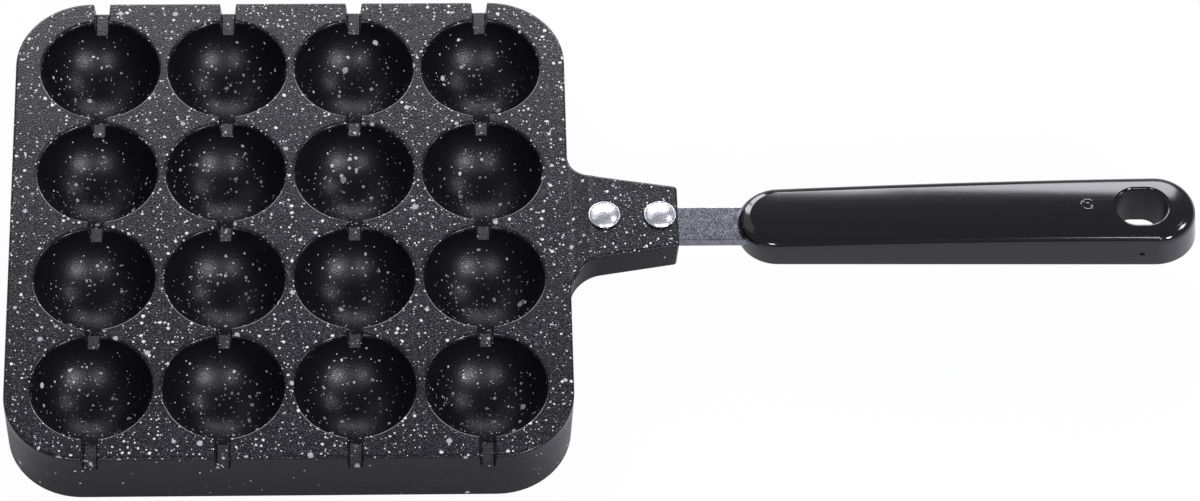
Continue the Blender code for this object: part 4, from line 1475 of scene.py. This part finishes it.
@dataclass(frozen=True)
class Lamp:
    """A soft oblong lamp that looks at the pan, and may fade out towards its top edge."""

    name: str
    place: tuple[float, float, float]
    size: tuple[float, float]
    radiance: float
    fade: float = 0.0
    tint: tuple[float, float, float] = COOL_WHITE
    target: tuple[float, float, float] = (-0.05, 0.0, 0.02)

    def build(self) -> Piece:
        """Add the lamp, with its power worked out from the brightness of its face."""
        data = bpy.data.lights.new(self.name, "AREA")
        data.shape = "RECTANGLE"
        data.size, data.size_y = self.size
        data.energy = self.radiance * pi * self.size[0] * self.size[1]
        data.color = self.tint
        if self.fade:
            data.use_nodes = True
            tree = data.node_tree
            across = add_node(tree, "ShaderNodeSeparateXYZ",
                              {0: add_node(tree, "ShaderNodeNewGeometry").outputs["Parametric"]})
            glow = solve(tree, Step.REMAP, across.outputs[1], 1.0 - self.fade, 1.0, 1.0, 0.0)
            tree.links.new(glow, tree.nodes["Emission"].inputs["Strength"])
        lamp = bpy.data.objects.new(self.name, data)
        lamp.location = self.place
        away = Vector(self.place) - Vector(self.target)
        lamp.rotation_euler = away.to_track_quat("Z", "Y").to_euler()
        lamp.visible_camera = False
        bpy.context.scene.collection.objects.link(lamp)
        return lamp


@dataclass
class Studio:
    """White sweep, soft lamps, plain world and the camera at the photograph's angle."""

    floor_half: float = 3.0
    floor_drop: float = 0.0002
    world_level: float = 0.28
    elevation: float = 55.345
    yaw: float = 4.209
    roll: float = -3.105
    distance: float = 1.8152
    aim: tuple[float, float, float] = (-0.002391, -0.010325, 0.022218)
    focal_px: float = 5445.1
    sensor_mm: float = 36.0
    lamps: tuple[Lamp, ...] = field(default_factory=lambda: (
        Lamp("back_grip_panel", (0.385, 1.16, 0.735), (0.46, 0.86), 9.4, 0.06),
        Lamp("back_nose_panel", (0.085, 1.16, 0.71), (0.14, 0.85), 9.8, 0.06),
        Lamp("back_plate_panel", (-0.30, 1.16, 0.72), (0.38, 0.86), 9.2, 0.06),
        Lamp("back_left_strip", (-0.62, 1.07, 0.66), (0.24, 0.66), 10.5, 0.06),
        Lamp("right_front_box", (1.25, -1.62, 1.15), (0.36, 0.36), 76.0),
        Lamp("front_box", (-0.62, -1.89, 1.41), (0.44, 0.44), 26.0),
        Lamp("right_box", (1.56, 0.115, 1.63), (0.40, 0.40), 20.0),
        Lamp("front_strip", (0.50, -1.44, 1.25), (0.06, 1.10), 20.0),
        Lamp("left_sheet", (-1.23, 0.72, 1.31), (1.30, 1.10), 0.6),
    ))

    def floor(self) -> Piece:
        """Add the white floor."""
        mesh = bmesh.new()
        half = self.floor_half
        corners = ((-half, -half), (half, -half), (half, half), (-half, half))
        mesh.faces.new([mesh.verts.new((x, y, -self.floor_drop)) for x, y in corners])
        piece = make_object("floor", mesh)
        piece.data.materials.append(StudioWhite().material())
        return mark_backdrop(piece)

    def world(self) -> None:
        """Light the scene evenly, with a white page for the camera alone."""
        world = bpy.data.worlds.new("studio_world")
        bpy.context.scene.world = world
        world.use_nodes = True
        tree = world.node_tree
        tree.nodes.clear()
        rays = add_node(tree, "ShaderNodeLightPath")
        plain = add_node(tree, "ShaderNodeBackground",
                         {"Color": (*COOL_WHITE, 1.0), "Strength": self.world_level})
        page = add_node(tree, "ShaderNodeBackground", {"Color": (1.0, 1.0, 1.0, 1.0), "Strength": 1.0})
        mix = add_node(tree, "ShaderNodeMixShader",
                       {0: rays.outputs["Is Camera Ray"], 1: plain.outputs[0], 2: page.outputs[0]})
        add_node(tree, "ShaderNodeOutputWorld", {"Surface": mix.outputs[0]})

    def camera(self) -> Piece:
        """Add the camera, turned and placed as the photograph was taken."""
        data = bpy.data.cameras.new("camera")
        data.sensor_width = self.sensor_mm
        data.lens = self.focal_px * self.sensor_mm / IMAGE_WIDTH_PX
        data.clip_end = 20.0
        turns = ((-self.yaw, "Z"), (90 - self.elevation, "X"), (-self.roll, "Z"))
        yaw, tilt, roll = (Matrix.Rotation(radians(angle), 4, axis) for angle, axis in turns)
        turn = yaw @ tilt @ roll
        place = Vector(self.aim) + turn.col[2].to_3d() * self.distance
        camera = bpy.data.objects.new("camera", data)
        camera.matrix_world = Matrix.Translation(place) @ turn
        bpy.context.scene.collection.objects.link(camera)
        bpy.context.scene.camera = camera
        return camera

    def build(self) -> None:
        """Set up the floor, world, lamps and camera."""
        self.floor()
        self.world()
        for lamp in self.lamps:
            lamp.build()
        self.camera()
        bpy.context.scene.view_settings.view_transform = "Standard"
        LOG.info("studio: %d lamps", len(self.lamps))


def main() -> None:
    """Build every piece in order, then the studio."""
    logging.basicConfig(level=logging.INFO, format="%(name)s: %(message)s")
    Casting().build(StoneCoating().material())
    HandleStrap().build(BrushedStainless().material())
    RivetPair().build(PolishedAluminium().material())
    Grip().build(Bakelite().material())
    GripScrew().build(ZincPlatedSteel().material())
    Studio().build()


if __name__ == "__main__":
    main()
